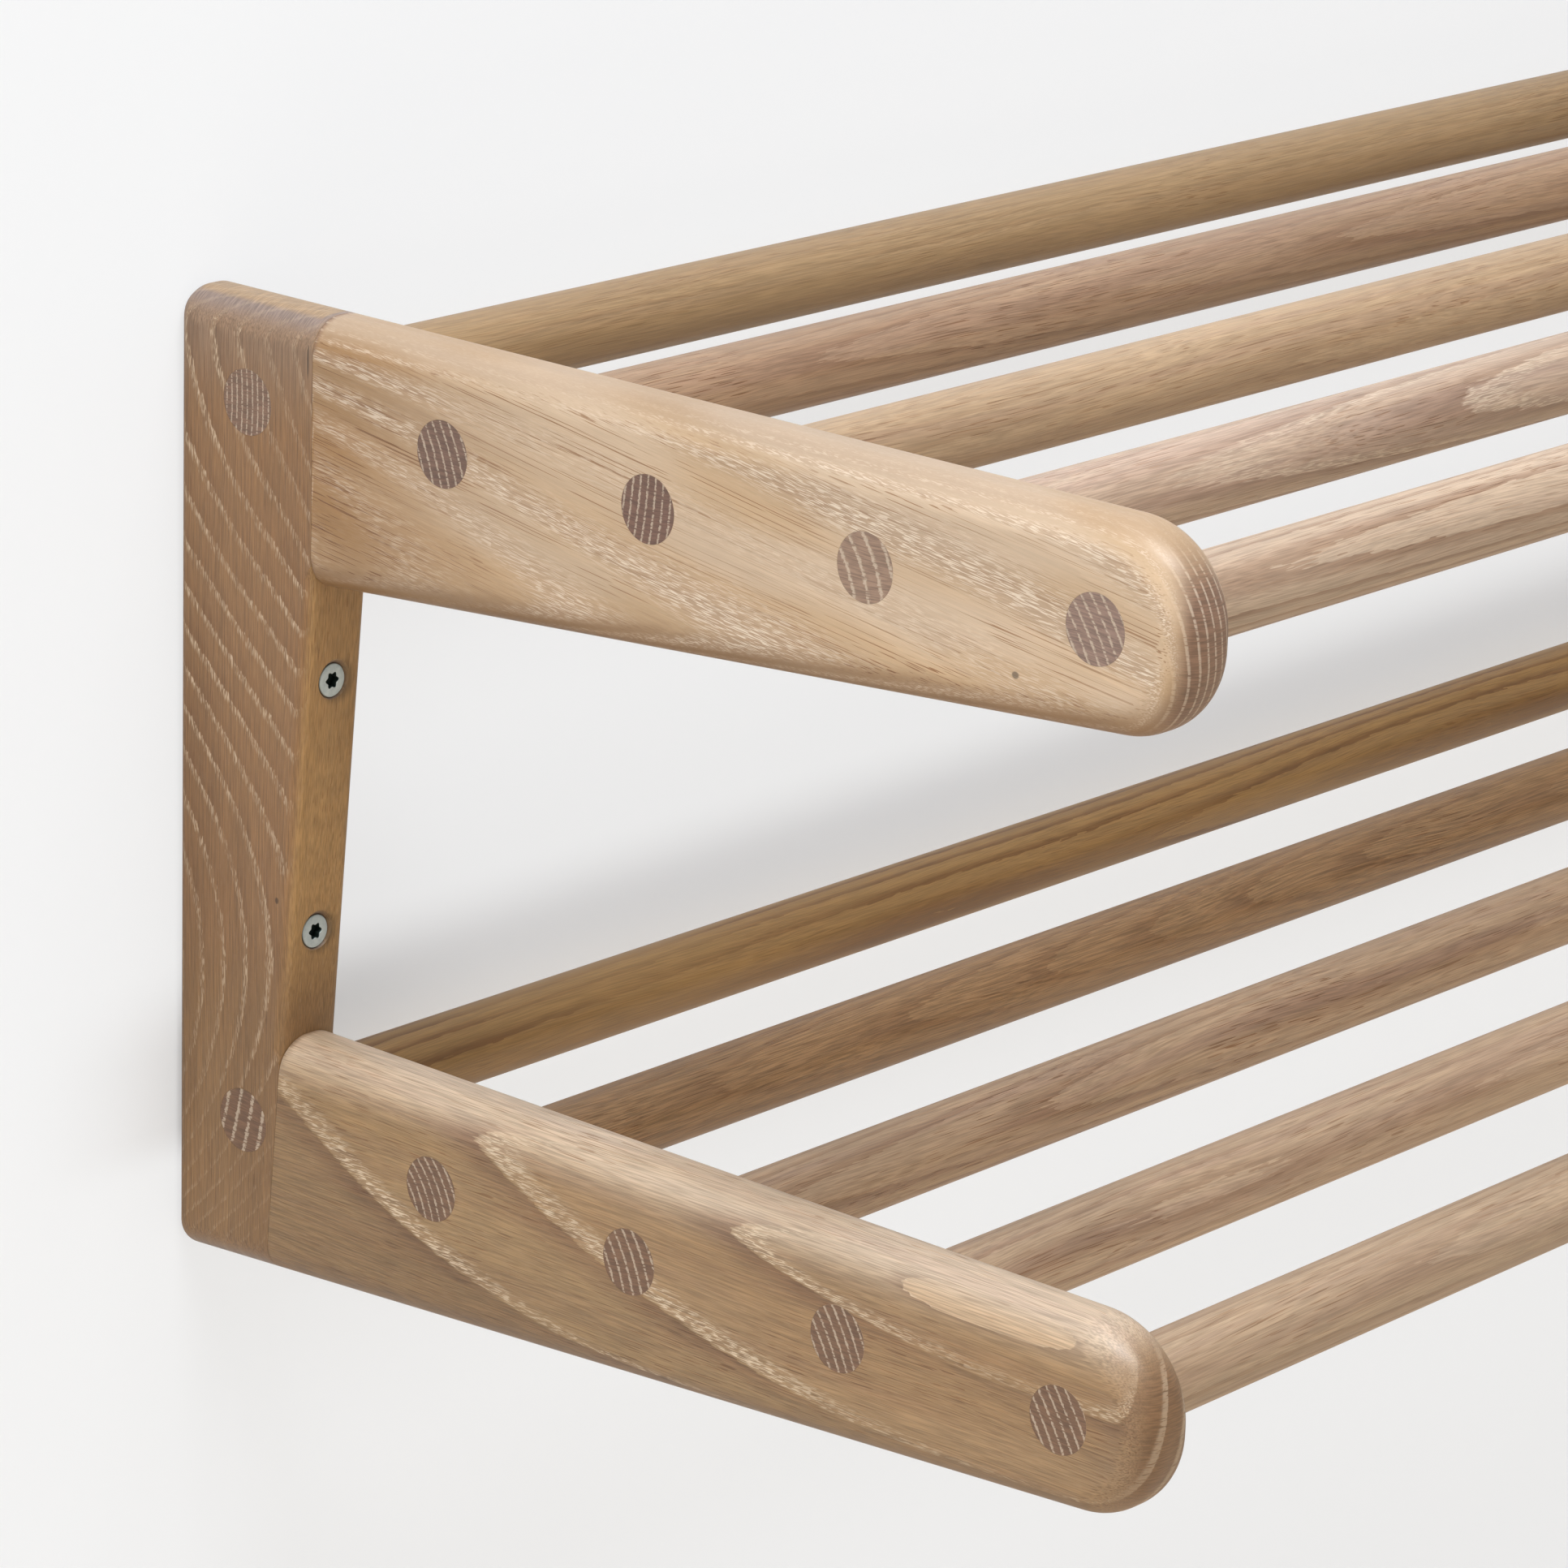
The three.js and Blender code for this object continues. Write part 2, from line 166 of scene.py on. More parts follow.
softbox("overhead_softbox", (-0.5, -0.9, 2.2), (-0.1, -0.15, 0), 2.0, 1.2, 32)
softbox("strip_lamp", (-0.8, -1.12, 2.2), (0, -0.1, 0), 1.6, 0.12, 32)
softbox("left_softbox", (-2.6, -0.9, 0.6), (-0.2, -0.15, 0), 1.4, 1.4, 6.7)

# The room lights the shelf evenly. Where the camera looks past the wall and floor, it sees pale grey.

world = bpy.data.worlds.new("studio")
bpy.context.scene.world = world
world.use_nodes = True
tree = world.node_tree
tree.nodes.clear()
room = tree.nodes.new("ShaderNodeBackground")
room.inputs["Color"].default_value = (1, 1, 1, 1)
room.inputs["Strength"].default_value = 0.41
pale = tree.nodes.new("ShaderNodeBackground")
pale.inputs["Color"].default_value = (0.85, 0.85, 0.85, 1)
pale.inputs["Strength"].default_value = 1
ray = tree.nodes.new("ShaderNodeLightPath")
seen = tree.nodes.new("ShaderNodeMath")
seen.operation = "MAXIMUM"
mixed = tree.nodes.new("ShaderNodeMixShader")
out = tree.nodes.new("ShaderNodeOutputWorld")
tree.links.new(ray.outputs["Is Camera Ray"], seen.inputs[0])
tree.links.new(ray.outputs["Is Transmission Ray"], seen.inputs[1])
tree.links.new(seen.outputs[0], mixed.inputs[0])
tree.links.new(room.outputs[0], mixed.inputs[1])
tree.links.new(pale.outputs[0], mixed.inputs[2])
tree.links.new(mixed.outputs[0], out.inputs["Surface"])


# The two uprights: oak boards that stand against the wall, sawn to a taper and rounded over on a router.
# The wall screws sit in countersinks in their front edges, and the first rod of each tier goes through them.

LENGTH = 0.800
BOARD = 0.022
RODS_PER_TIER = 5
ROD_PITCH = 0.072
FIRST_ROD_TO_WALL = 0.0265
UPPER_RODS_Z = 0.074
LOWER_RODS_Z = -0.128
RIM_OVER_RODS = 0.0266
UPRIGHT_DEPTH = 0.0508
LOWER_DEPTH = 0.0389
TENON_RADIUS = 0.009
JOINT = 0.0001
SNUG = 0.00003
OUTER_ROUNDING = 0.0095
EDGE_ROUNDING = 0.0035
CORNER_RADIUS = 0.003
EDGE_RUN_OUT = 0.004
EDGE_PAST_JOINT = 0.003
UPPER_DROP = (0.0487, 0.0271)
LOWER_DROP = (0.0433, 0.0252)
SCREW_HEIGHTS = (0.0, -0.072)
SCREW_SINK = 0.0005
SCREW_CLEARANCE = 0.0003
SCREW_STEPS = 48
HEAD_RADIUS = 0.00465
HEAD_RIM = 0.0003
SHANK_RADIUS = 0.0025
CUT_IN_FRONT = 0.002
CUT_BEHIND = 0.06
HOLE_STEPS = 64
ROUNDING_STEPS = 15
CORNER_STEPS = 8
CORNER_MARGIN = 0.012
FRONT_POINTS = 110
BACK_POINTS = 60
END_POINTS = 19
LATTICE = 0.002
LATTICE_TO_HOLE = 0.0011
LATTICE_TO_RIM = 0.0009
FLAT_START = 0.0006
QUIET_FIGURE = 0.25
NARROW_FIGURE = 0.08
CREASE = math.radians(38)

FRAME_TOP_Z = UPPER_RODS_Z + RIM_OVER_RODS
LAST_ROD_Y = -FIRST_ROD_TO_WALL - (RODS_PER_TIER - 1) * ROD_PITCH
upper_rise = (UPPER_DROP[0] - UPPER_DROP[1]) / (-FIRST_ROD_TO_WALL - LAST_ROD_Y)
lower_rise = (LOWER_DROP[0] - LOWER_DROP[1]) / (-FIRST_ROD_TO_WALL - LAST_ROD_Y)


def underside(y, rods_z, drop, rise):
    """Height of an arm's straight underside: its drop at the first rod, less its rise towards the nose."""
    return rods_z - drop + rise * (-FIRST_ROD_TO_WALL - y)


TAPER_START_Z = underside(-UPRIGHT_DEPTH, UPPER_RODS_Z, UPPER_DROP[0], upper_rise)
TAPER = (UPRIGHT_DEPTH - LOWER_DEPTH) / (TAPER_START_Z - LOWER_RODS_Z)


def front_of_upright(z):
    """Front edge of the upright: plumb behind the upper arm, then a straight taper towards the wall."""
    return -UPRIGHT_DEPTH + TAPER * np.maximum(0, TAPER_START_Z - z)


def foot_of_front(forward):
    """Where a line this far in front of the tapered edge meets the straight underside of the frame."""
    base = -UPRIGHT_DEPTH + TAPER * TAPER_START_Z - forward
    z = (underside(0, LOWER_RODS_Z, LOWER_DROP[0], lower_rise) - lower_rise * base) / (1 - lower_rise * TAPER)
    return np.array([base - TAPER * z, z])


def edge_points(places, lean, rounding, lean_too=(0, 0), rounding_too=0.0):
    """Outline rows of place y z, first lean y z and its round-over, second lean y z and its round-over."""
    places = np.atleast_2d(places)
    ones = np.ones((len(places), 1))
    first = np.hstack([ones * np.atleast_2d(lean), ones * np.reshape(rounding, (-1, 1))])
    second = np.hstack([ones * np.atleast_2d(lean_too), ones * rounding_too])
    return np.hstack([places, first, second])


def arc(centre, radius, from_deg, to_deg, steps):
    """Unit directions at even angles, and the points that far out from the centre."""
    angle = np.radians(np.linspace(from_deg, to_deg, steps + 1))
    out = np.stack([np.cos(angle), np.sin(angle)], 1)
    return out, np.asarray(centre) + radius * out


def drawn_in(rounding, depth):
    """A quarter-round edge is drawn in by r - sqrt(r^2 - (r - depth)^2) at a depth below the board's face."""
    left = np.clip(rounding - depth, 0, None)
    return rounding - np.sqrt(np.clip(rounding**2 - left**2, 0, None))


def ring_at(outline, depth, further=0.0):
    """The outline at one depth: each place plus its two leans, each as long as its edge is drawn in there,
    and a little further for the ring that the flat face starts from."""
    first = drawn_in(outline[:, 4], depth) + further
    second = drawn_in(outline[:, 7], depth) + further
    return outline[:, :2] + outline[:, 2:4] * first[:, None] + outline[:, 5:7] * second[:, None]


def inside(points, ring):
    """Even-odd test of many points against one closed ring, all edges at once."""
    a, b = ring, np.roll(ring, -1, 0)
    y, z = points[:, :1], points[:, 1:]
    spans = (a[:, 1] > z) != (b[:, 1] > z)
    run = np.where(b[:, 1] == a[:, 1], 1e-12, b[:, 1] - a[:, 1])
    return np.sum(spans & (y < a[:, 0] + (z - a[:, 1]) * (b[:, 0] - a[:, 0]) / run), 1) % 2 == 1


def ring_quads(count, size):
    """Quads between neighbouring rings of points: closed rings of one size, laid one after the other."""
    row = size * np.arange(count - 1)[:, None]
    step = np.arange(size)
    after = (step + 1) % size
    return np.stack([row + step, row + after, row + size + after, row + size + step], 2).reshape(-1, 4)


def board(name, x, outline, holes, rings):
    """A board as one closed skin. Its edge is the outline at rising depths from both faces, joined in quads;
    its two flat faces are filled by a triangulation with a square lattice inside, and each hole is a tunnel.
    `rings` gives the growth-ring number at each point, which the oak's figure follows."""
    depths = OUTER_ROUNDING * (1 - np.cos(np.linspace(0, np.pi / 2, ROUNDING_STEPS)))
    layers = [(0.0, ring_at(outline, 0.0, FLAT_START))] + [(d, ring_at(outline, d)) for d in depths]
    layers += [(BOARD - d, ring) for d, ring in reversed(layers)]
    size = len(outline)
    skin = np.concatenate([np.column_stack([np.full(size, d), ring]) for d, ring in layers])
    sides = ring_quads(len(layers), size)

    rim = layers[0][1]
    circles = [arc(hole, TENON_RADIUS + SNUG, 0, 360, HOLE_STEPS)[1][:-1] for hole in holes]
    low, high = rim.min(0), rim.max(0)
    lattice = np.meshgrid(*[np.arange(a, b, LATTICE) for a, b in zip(low, high)])
    lattice = np.stack(lattice, 2).reshape(-1, 2)
    lattice = lattice[inside(lattice, rim)]
    kept = np.ones(len(lattice), bool)
    for hole in holes:
        kept &= np.hypot(*(lattice - hole).T) > TENON_RADIUS + LATTICE_TO_HOLE
    for corner in (rim, (rim + np.roll(rim, -1, 0)) / 2):
        apart = np.hypot(*(lattice[:, None] - corner[None]).transpose(2, 0, 1))
        kept &= np.min(apart, 1) > LATTICE_TO_RIM
    flat = np.concatenate([rim, *circles, lattice[kept]])
    loops = [list(range(size))]
    for index in range(len(circles)):
        start = size + HOLE_STEPS * index
        loops.append(list(range(start, start + HOLE_STEPS)))
    edges = [(a, b) for loop in loops for a, b in zip(loop, loop[1:] + loop[:1])]
    _, _, faces, source, _, _ = delaunay_2d_cdt([Vector(p) for p in flat], edges, [], 1, 1e-7)
    faces = np.array([origin[0] for origin in source])[np.array(faces)]
    on_circle = faces < size + HOLE_STEPS * len(circles)
    circle_of = np.where(on_circle, (faces - size) // HOLE_STEPS, -1)
    faces = faces[(circle_of.min(1) < 0) | (circle_of.min(1) != circle_of.max(1))]

    base = len(skin)
    inner = len(flat) - size
    near = np.where(faces < size, faces, base + faces - size)
    far = np.where(faces < size, (len(layers) - 1) * size + faces, base + inner + faces - size)
    cover = np.concatenate([near[:, ::-1], far])
    tunnels = []
    for index in range(len(circles)):
        a = base + HOLE_STEPS * index + np.arange(HOLE_STEPS)
        b = base + HOLE_STEPS * index + (np.arange(HOLE_STEPS) + 1) % HOLE_STEPS
        tunnels.append(np.stack([a, a + inner, b + inner, b], 1))
    inner_points = flat[size:]
    vertices = np.concatenate([
        skin,
        np.column_stack([np.zeros(inner), inner_points]),
        np.column_stack([np.full(inner, BOARD), inner_points]),
    ])
    quads = np.concatenate([sides, *tunnels])
    mesh = bpy.data.meshes.new(name)
    mesh.from_pydata((vertices + [x, 0, 0]).tolist(), [], quads.tolist() + cover.tolist())
    write_values(mesh, "rings", rings(*(vertices * 1000).T))
    piece = bpy.data.objects.new(name, mesh)
    bpy.context.scene.collection.objects.link(piece)
    return piece


def smooth_step(value, low, high):
    """Cubic ease from 0 at low to 1 at high."""
    share = np.clip((value - low) / (high - low), 0, 1)
    return share * share * (3 - 2 * share)


def write_values(mesh, name, values, domain="POINT"):
    """One number per vertex or face for the materials to read."""
    mesh.attributes.new(name, "FLOAT", domain).data.foreach_set("value", values.astype(np.float32))


def finish_board(piece, fibre, fade, quiet_below=-1.0):
    """Shades the rounds smooth and keeps real edges crisp, then writes how the wood shows: end grain is the
    square of a normal's lean along the fibre, and front, top and under are its leans that way, with the flat
    sides straight out to the rims of their holes. The rings' figure fades on those narrow faces, by a power
    of the normal's lean sideways, and below a height."""
    mesh = piece.data
    mesh.shade_smooth()
    mesh.set_sharp_from_angle(angle=CREASE)
    places = np.empty(len(mesh.vertices) * 3)
    normals = np.empty(len(mesh.vertices) * 3)
    mesh.vertices.foreach_get("co", places)
    mesh.vertices.foreach_get("normal", normals)
    normals = normals.reshape(-1, 3)
    across, height = places.reshape(-1, 3)[:, 0], places.reshape(-1, 3)[:, 2]
    for side, flat in ((-1, across < across.min() + 1e-6), (1, across > across.max() - 1e-6)):
        normals[flat] = (side, 0, 0)
    write_values(mesh, "end_grain", (normals @ np.asarray(fibre)) ** 2)
    write_values(mesh, "front", -normals[:, 1])
    write_values(mesh, "top", normals[:, 2])
    write_values(mesh, "under", -normals[:, 2])
    rise = QUIET_FIGURE + (1 - QUIET_FIGURE) * smooth_step(height, quiet_below, quiet_below + 0.05)
    flatness = NARROW_FIGURE + (1 - NARROW_FIGURE) * np.abs(normals[:, 0]) ** fade
    write_values(mesh, "figure", flatness * rise)


def turned_skin(profile, sides):
    """Vertices and quads of a turned shape: pairs of distance along the axis and radius, carried round it."""
    angle = 2 * np.pi * np.arange(sides) / sides
    along, radius = np.asarray(profile, float).T
    ring = np.stack([
        np.repeat(along, sides),
        np.outer(radius, np.cos(angle)).ravel(),
        np.outer(radius, np.sin(angle)).ravel(),
    ], 1)
    return ring, ring_quads(len(profile), sides)


def countersink(x, z):
    """A solid to cut with, turned from a profile: the cone of a screw head, wider in front of the wood, and
    the clear hole behind it."""
    clear = HEAD_RADIUS + SCREW_CLEARANCE
    shank = SHANK_RADIUS + SCREW_CLEARANCE
    profile = [(-CUT_IN_FRONT, clear + CUT_IN_FRONT), (HEAD_RIM, clear), (HEAD_RIM + clear - shank, shank),
               (CUT_BEHIND, shank)]
    skin, quads = turned_skin(profile, SCREW_STEPS)
    y = float(front_of_upright(z)) + SCREW_SINK
    vertices = np.stack([x + skin[:, 1], y + skin[:, 0], z + skin[:, 2]], 1)
    last = len(skin) - 1
    lids = [list(range(SCREW_STEPS)), list(range(last, last - SCREW_STEPS, -1))]
    mesh = bpy.data.meshes.new("cutter")
    mesh.from_pydata(vertices.tolist(), [], quads[:, ::-1].tolist() + lids)
    cutter = bpy.data.objects.new("cutter", mesh)
    bpy.context.scene.collection.objects.link(cutter)
    return cutter


def cut_away(piece, cutters):
    """Cuts each cutter out of the piece, keeps the result as its mesh and drops the cutters."""
    for cutter in cutters:
        cut = piece.modifiers.new("countersink", "BOOLEAN")
        cut.operation = "DIFFERENCE"
        cut.solver = "EXACT"
        cut.object = cutter
    graph = bpy.context.evaluated_depsgraph_get()
    done = bpy.data.meshes.new_from_object(piece.evaluated_get(graph))
    piece.modifiers.clear()
    piece.data = done
    for cutter in cutters:
        bpy.data.objects.remove(cutter)


def oak(name, along, seed, tone, limed, end_tone, top_tone=None, tilt=0.0, pith=None, slope=0, band=0.3,
        band_edge=0.03, band_tone=None, tint=0.5, dashes=0.5, late=0.3, late_from=0.45,
        late_tone=(0.5, 0.4, 0.33), streaks=0.4, lengths=(24, 240), fineness=4500, threads=0.5,
        clouds=0.08, mauve=0.3, golden=0.3, wander=1.0, ragged=0.15, wave=0.0012, end_lines=0.75,
        zones=(), marks=()):
    """Oiled oak built from its growth rings, pores and rays. The ring number comes from the mesh, or in a rod
    from the distance to its pith over the ring gap. Its fraction, feathered by noise, runs through one year:
    a band of pores with limed dashes, then plain wood that darkens up to the next ring. Fibres, dark rays and
    pores are noise stretched along the grain, so they are lines on a face and dots on end grain. A zone
    blends to its tone by a written value, by the distance along a direction or, with None, by the ring."""
    material = bpy.data.materials.new(name)
    material.use_nodes = True
    tree = material.node_tree
    shader = tree.nodes["Principled BSDF"]

    def join(node, socket, value):
        """A node's output is linked to the socket, and a plain value is set on it."""
        if isinstance(value, bpy.types.NodeSocket):
            tree.links.new(value, node.inputs[socket])
        else:
            node.inputs[socket].default_value = value

    def sums(operation, *values):
        """One sum on plain numbers."""
        node = tree.nodes.new("ShaderNodeMath")
        node.operation = operation
        for socket, value in enumerate(values):
            join(node, socket, value)
        return node.outputs[0]

    def vectors(operation, *values, result="Vector"):
        """One sum on vectors, with a vector or a number as result."""
        node = tree.nodes.new("ShaderNodeVectorMath")
        node.operation = operation
        for socket, value in enumerate(values):
            join(node, socket, value)
        return node.outputs[result]

    def stained(colour, stain):
        """Colour times stain, channel by channel."""
        return vectors("MULTIPLY", colour, stain)

    def scaled(colour, factor):
        """Colour times one factor."""
        node = tree.nodes.new("ShaderNodeVectorMath")
        node.operation = "SCALE"
        join(node, "Vector", colour if isinstance(colour, bpy.types.NodeSocket) else colour[:3])
        join(node, "Scale", factor)
        return node.outputs[0]

    def ramp(value, low, high, start=0.0, end=1.0):
        """Cubic ease from start to end, while the value goes from low to high."""
        node = tree.nodes.new("ShaderNodeMapRange")
        node.interpolation_type = "SMOOTHSTEP"
        for socket, item in enumerate((value, low, high, start, end)):
            join(node, socket, item)
        return node.outputs[0]

    def blend(share, under, over):
        """Under times 1 - share, plus over times share."""
        node = tree.nodes.new("ShaderNodeMix")
        node.data_type = "RGBA"
        join(node, 0, share)
        join(node, 6, under)
        join(node, 7, over)
        return node.outputs[2]

    def written(attribute):
        """The mesh's own value of that name."""
        node = tree.nodes.new("ShaderNodeAttribute")
        node.attribute_name = attribute
        return node.outputs["Fac"]

    def grain(across, lengthwise, number, detail=0.0, source=None, output="Fac"):
        """Noise with so many waves a metre across the fibres and along them, moved by seed and number."""
        place = tree.nodes.new("ShaderNodeMapping")
        scale = list(across) if isinstance(across, tuple) else [across] * 3
        scale[along] = lengthwise
        place.inputs["Scale"].default_value = scale
        place.inputs["Location"].default_value = [seed + 7.3 * number, 2 * seed - 3.1 * number, 5.7 * number]
        tree.links.new(source or fibre, place.inputs["Vector"])
        noise = tree.nodes.new("ShaderNodeTexNoise")
        noise.inputs["Scale"].default_value = 1.0
        noise.inputs["Detail"].default_value = detail
        tree.links.new(place.outputs[0], noise.inputs["Vector"])
        return noise.outputs[output]

    # The fibres run along the board or a few degrees off, with a soft waver.
    where = tree.nodes.new("ShaderNodeTexCoord").outputs["Object"]
    turn = tree.nodes.new("ShaderNodeMapping")
    turn.inputs["Rotation"].default_value = (math.radians(tilt), 0, 0)
    tree.links.new(where, turn.inputs["Vector"])
    bend = vectors("SUBTRACT", grain(30, 7, 9, 1.0, turn.outputs[0], "Color"), (0.5, 0.5, 0.5))
    fibre = vectors("MULTIPLY_ADD", bend, (wave * 4,) * 3, turn.outputs[0])

    # The ring number, feathered by noise, and the band of pores at the start of each year.
    on_end = written("end_grain")
    if pith is None:
        number = written("rings")
    else:
        flat = vectors("MULTIPLY", where, (0, 1, 1))
        away = vectors("DISTANCE", flat, (0, *pith[:2]), result="Value")
        number = sums("DIVIDE", away, pith[2])
        if slope:
            number = sums("ADD", number, vectors("DOT_PRODUCT", where, (slope, 0, 0), result="Value"))
    number = sums("MULTIPLY_ADD", grain(28, 7, 1), wander, sums("SUBTRACT", number, wander / 2))
    number = sums("MULTIPLY_ADD", grain(1500, 110, 2, 1.0), ragged, sums("SUBTRACT", number, ragged / 2))
    year = sums("FRACT", number)
    shown = ramp(grain(26, 9, 3, 1.0), 0.3, 0.62, 0.3, 1.0)
    if pith is None:
        shown = sums("MULTIPLY", written("figure"), shown)
    pores = sums("MULTIPLY", ramp(year, 0.0, band_edge), ramp(year, band, band * 0.35))
    pores = sums("MULTIPLY", pores, shown)

    # The body's colour: light and dark fibres, clouds, zones, tinges and the late wood's darkening.
    thread = grain(3200, 70, 4, 1.0)
    strength = threads
    if tilt:
        plain = ramp(written("figure"), 0.95, 0.4)
        strength = sums("MULTIPLY_ADD", plain, -threads, threads)
    light = ramp(grain(26, 4, 5, 2.0), 0.3, 0.7, 1.08, 0.9)
    light = sums("MULTIPLY", light, ramp(grain(420, 9, 13, 1.0), 0.3, 0.7, 1.0 - clouds, 1.0 + clouds))
    fine = sums("MULTIPLY_ADD", ramp(thread, 0.28, 0.72, -0.4, 0.3), strength, 1.0)
    light = sums("MULTIPLY", light, fine)
    purplish = sums("MULTIPLY", ramp(grain(220, 6, 14, 1.0), 0.46, 0.64), mauve)
    colour = pigment(*tone)
    for source, start, full, zone_tone in zones:
        if isinstance(source, str):
            place = written(source)
        else:
            place = vectors("DOT_PRODUCT", where, source, result="Value") if source else number
        colour = blend(ramp(place, start, full), colour, pigment(*zone_tone))
    body = scaled(colour, light)
    body = blend(purplish, body, stained(body, (0.8, 0.74, 0.8)))
    sunny = sums("MULTIPLY", ramp(grain(48, 10, 15, 1.0), 0.42, 0.62), golden)
    body = blend(sunny, body, stained(body, (0.88, 0.79, 0.64)))
    darkening = sums("MULTIPLY", sums("MULTIPLY", ramp(year, late_from, 1.0), late), shown)
    body = blend(darkening, body, stained(body, late_tone))
    body = blend(sums("MULTIPLY", pores, tint), body, scaled(pigment(*(band_tone or limed)), light))

    # Dark rays, then the pores, some open and some filled with pale lime.
    ray = sums("MULTIPLY", ramp(grain(3400, lengths[0], 6), 0.65, 0.7), streaks)
    ray = sums("MULTIPLY", ray, ramp(grain(40, 12, 7), 0.35, 0.6, 0.3, 1.0))
    if tilt:
        ray = sums("MULTIPLY", ray, sums("SUBTRACT", 1.0, plain))
    ray = sums("MULTIPLY", ray, sums("MULTIPLY_ADD", pores, -0.6, 1.0))
    body = blend(ray, body, stained(body, (0.52, 0.36, 0.23)))

    dash = grain(fineness, lengths[1], 8)
    gaps = sums("MULTIPLY", ramp(dash, 0.44, 0.34), sums("MULTIPLY", pores, 0.4))
    body = blend(gaps, body, scaled(body, 0.8))
    limed_pores = sums("MULTIPLY", ramp(dash, 0.53, 0.63), sums("MULTIPLY_ADD", pores, dashes, 0.04 * dashes))
    body = blend(limed_pores, body, pigment(*limed))

    # End grain: cut pores along the rings, and rays across them.
    line = sums("MULTIPLY", ramp(year, 0.0, 0.06), ramp(year, 0.32, 0.18))
    if pith is None:
        rungs, rays = (300, 2000, 2000), (180, 2800, 2800)
    else:
        rungs, rays = (2000, 300, 2000), (2800, 180, 2800)
    cut_pores = sums("MULTIPLY", line, ramp(grain(rungs, 300, 10, 1.0), 0.32, 0.48))
    ticks = grain(rays, 300, 11, 1.0)
    end_colour = pigment(*end_tone)
    if top_tone:
        end_colour = blend(ramp(written("top"), 0.86, 0.97), end_colour, pigment(*top_tone))
    end_wood = scaled(end_colour, ramp(ticks, 0.3, 0.7, 0.74, 1.22))
    end_wood = blend(sums("MULTIPLY", cut_pores, end_lines), end_wood, pigment(*limed))
    body = blend(ramp(on_end, 0.05, 0.7, 0.0, 0.95), body, end_wood)

    for place, size, share in marks:
        offset = vectors("DIVIDE", vectors("SUBTRACT", where, place), size)
        near = ramp(vectors("LENGTH", offset, result="Value"), 1.0, 0.6, 0.0, share)
        body = blend(near, body, scaled(body, 0.25))

    tree.links.new(body, shader.inputs["Base Color"])
    tree.links.new(ramp(thread, 0.2, 0.8, 0.36, 0.46), shader.inputs["Roughness"])
    shader.inputs["Specular IOR Level"].default_value = 0.6
    relief = tree.nodes.new("ShaderNodeBump")
    relief.inputs["Strength"].default_value = 0.25
    relief.inputs["Distance"].default_value = 0.00005
    tree.links.new(sums("SUBTRACT", thread, ray), relief.inputs["Height"])
    tree.links.new(relief.outputs[0], shader.inputs["Normal"])
    return material


def upright_outline():
    """The upright's side outline, counter-clockwise in Y and Z: top front, down the front, foot and back."""
    foot = foot_of_front(0)
    slant = math.hypot(1, lower_rise)
    slope = math.degrees(math.atan(lower_rise))
    low_z = underside(-CORNER_RADIUS, LOWER_RODS_Z, LOWER_DROP[0], lower_rise) + CORNER_RADIUS * slant
    up_front = np.array([-TAPER, 1]) / math.hypot(1, TAPER)
    out_of_underside = np.array([lower_rise, 1]) / slant
    z = np.linspace(FRAME_TOP_Z - CORNER_MARGIN, foot[1] + CORNER_MARGIN, FRONT_POINTS)
    arm_top = LOWER_RODS_Z + RIM_OVER_RODS
    clear_of_arms = (TAPER_START_Z - z, z - arm_top)
    share = [np.clip((v + EDGE_PAST_JOINT) / EDGE_RUN_OUT + 1, 0, 1) for v in clear_of_arms]
    eased = EDGE_ROUNDING * np.prod([v * v * (3 - 2 * v) for v in share], 0)
    front = np.stack([front_of_upright(z), z], 1)
    near_back = -CORNER_RADIUS - EDGE_ROUNDING - 0.001
    bottom_y = np.linspace(foot[0], near_back, END_POINTS)[1:]
    bottom = np.stack([bottom_y, underside(bottom_y, LOWER_RODS_Z, LOWER_DROP[0], lower_rise)], 1)
    top_y = np.linspace(near_back, -UPRIGHT_DEPTH, END_POINTS)[:-1]
    top = np.stack([top_y, np.full_like(top_y, FRAME_TOP_Z)], 1)
    high_z = FRAME_TOP_Z - CORNER_RADIUS
    low_corner = arc((-CORNER_RADIUS, low_z), CORNER_RADIUS, 270 - slope, 360, CORNER_STEPS)[1]
    high_corner = arc((-CORNER_RADIUS, high_z), CORNER_RADIUS, 0, 90, CORNER_STEPS)[1]
    back_z = np.linspace(low_z + CORNER_MARGIN, high_z - CORNER_MARGIN, BACK_POINTS)
    back = np.stack([np.zeros_like(back_z), back_z], 1)
    return np.concatenate([
        edge_points((-UPRIGHT_DEPTH, FRAME_TOP_Z), (0, -1), OUTER_ROUNDING, (1, 0), 0),
        edge_points(front, np.array([1, TAPER]) / math.hypot(1, TAPER), eased),
        edge_points(foot, up_front / (up_front @ out_of_underside), OUTER_ROUNDING),
        edge_points(bottom, (0, slant), OUTER_ROUNDING),
        edge_points(low_corner, (0, slant), OUTER_ROUNDING, (-1, lower_rise), EDGE_ROUNDING),
        edge_points(back, (-1, 0), EDGE_ROUNDING),
        edge_points(high_corner, (0, -1), OUTER_ROUNDING, (-1, 0), EDGE_ROUNDING),
        edge_points(top, (0, -1), OUTER_ROUNDING),
    ])


def upright_rings(x, y, z):
    """Growth rings of the upright: a cubic in y and z that falls in long curves from back to front, in
    units of 50 mm, and one ring for each 4 mm of depth."""
    u, v = (y + 25) / 50, (z + 15) / 50
    face = (8.338 - 3.821 * v - 0.621 * v**2 + 0.375 * v**3 + 4.008 * u - 0.308 * u * v + 0.361 * u * v**2
            - 0.196 * u**2 - 0.111 * u**2 * v)
    return face + x / 4


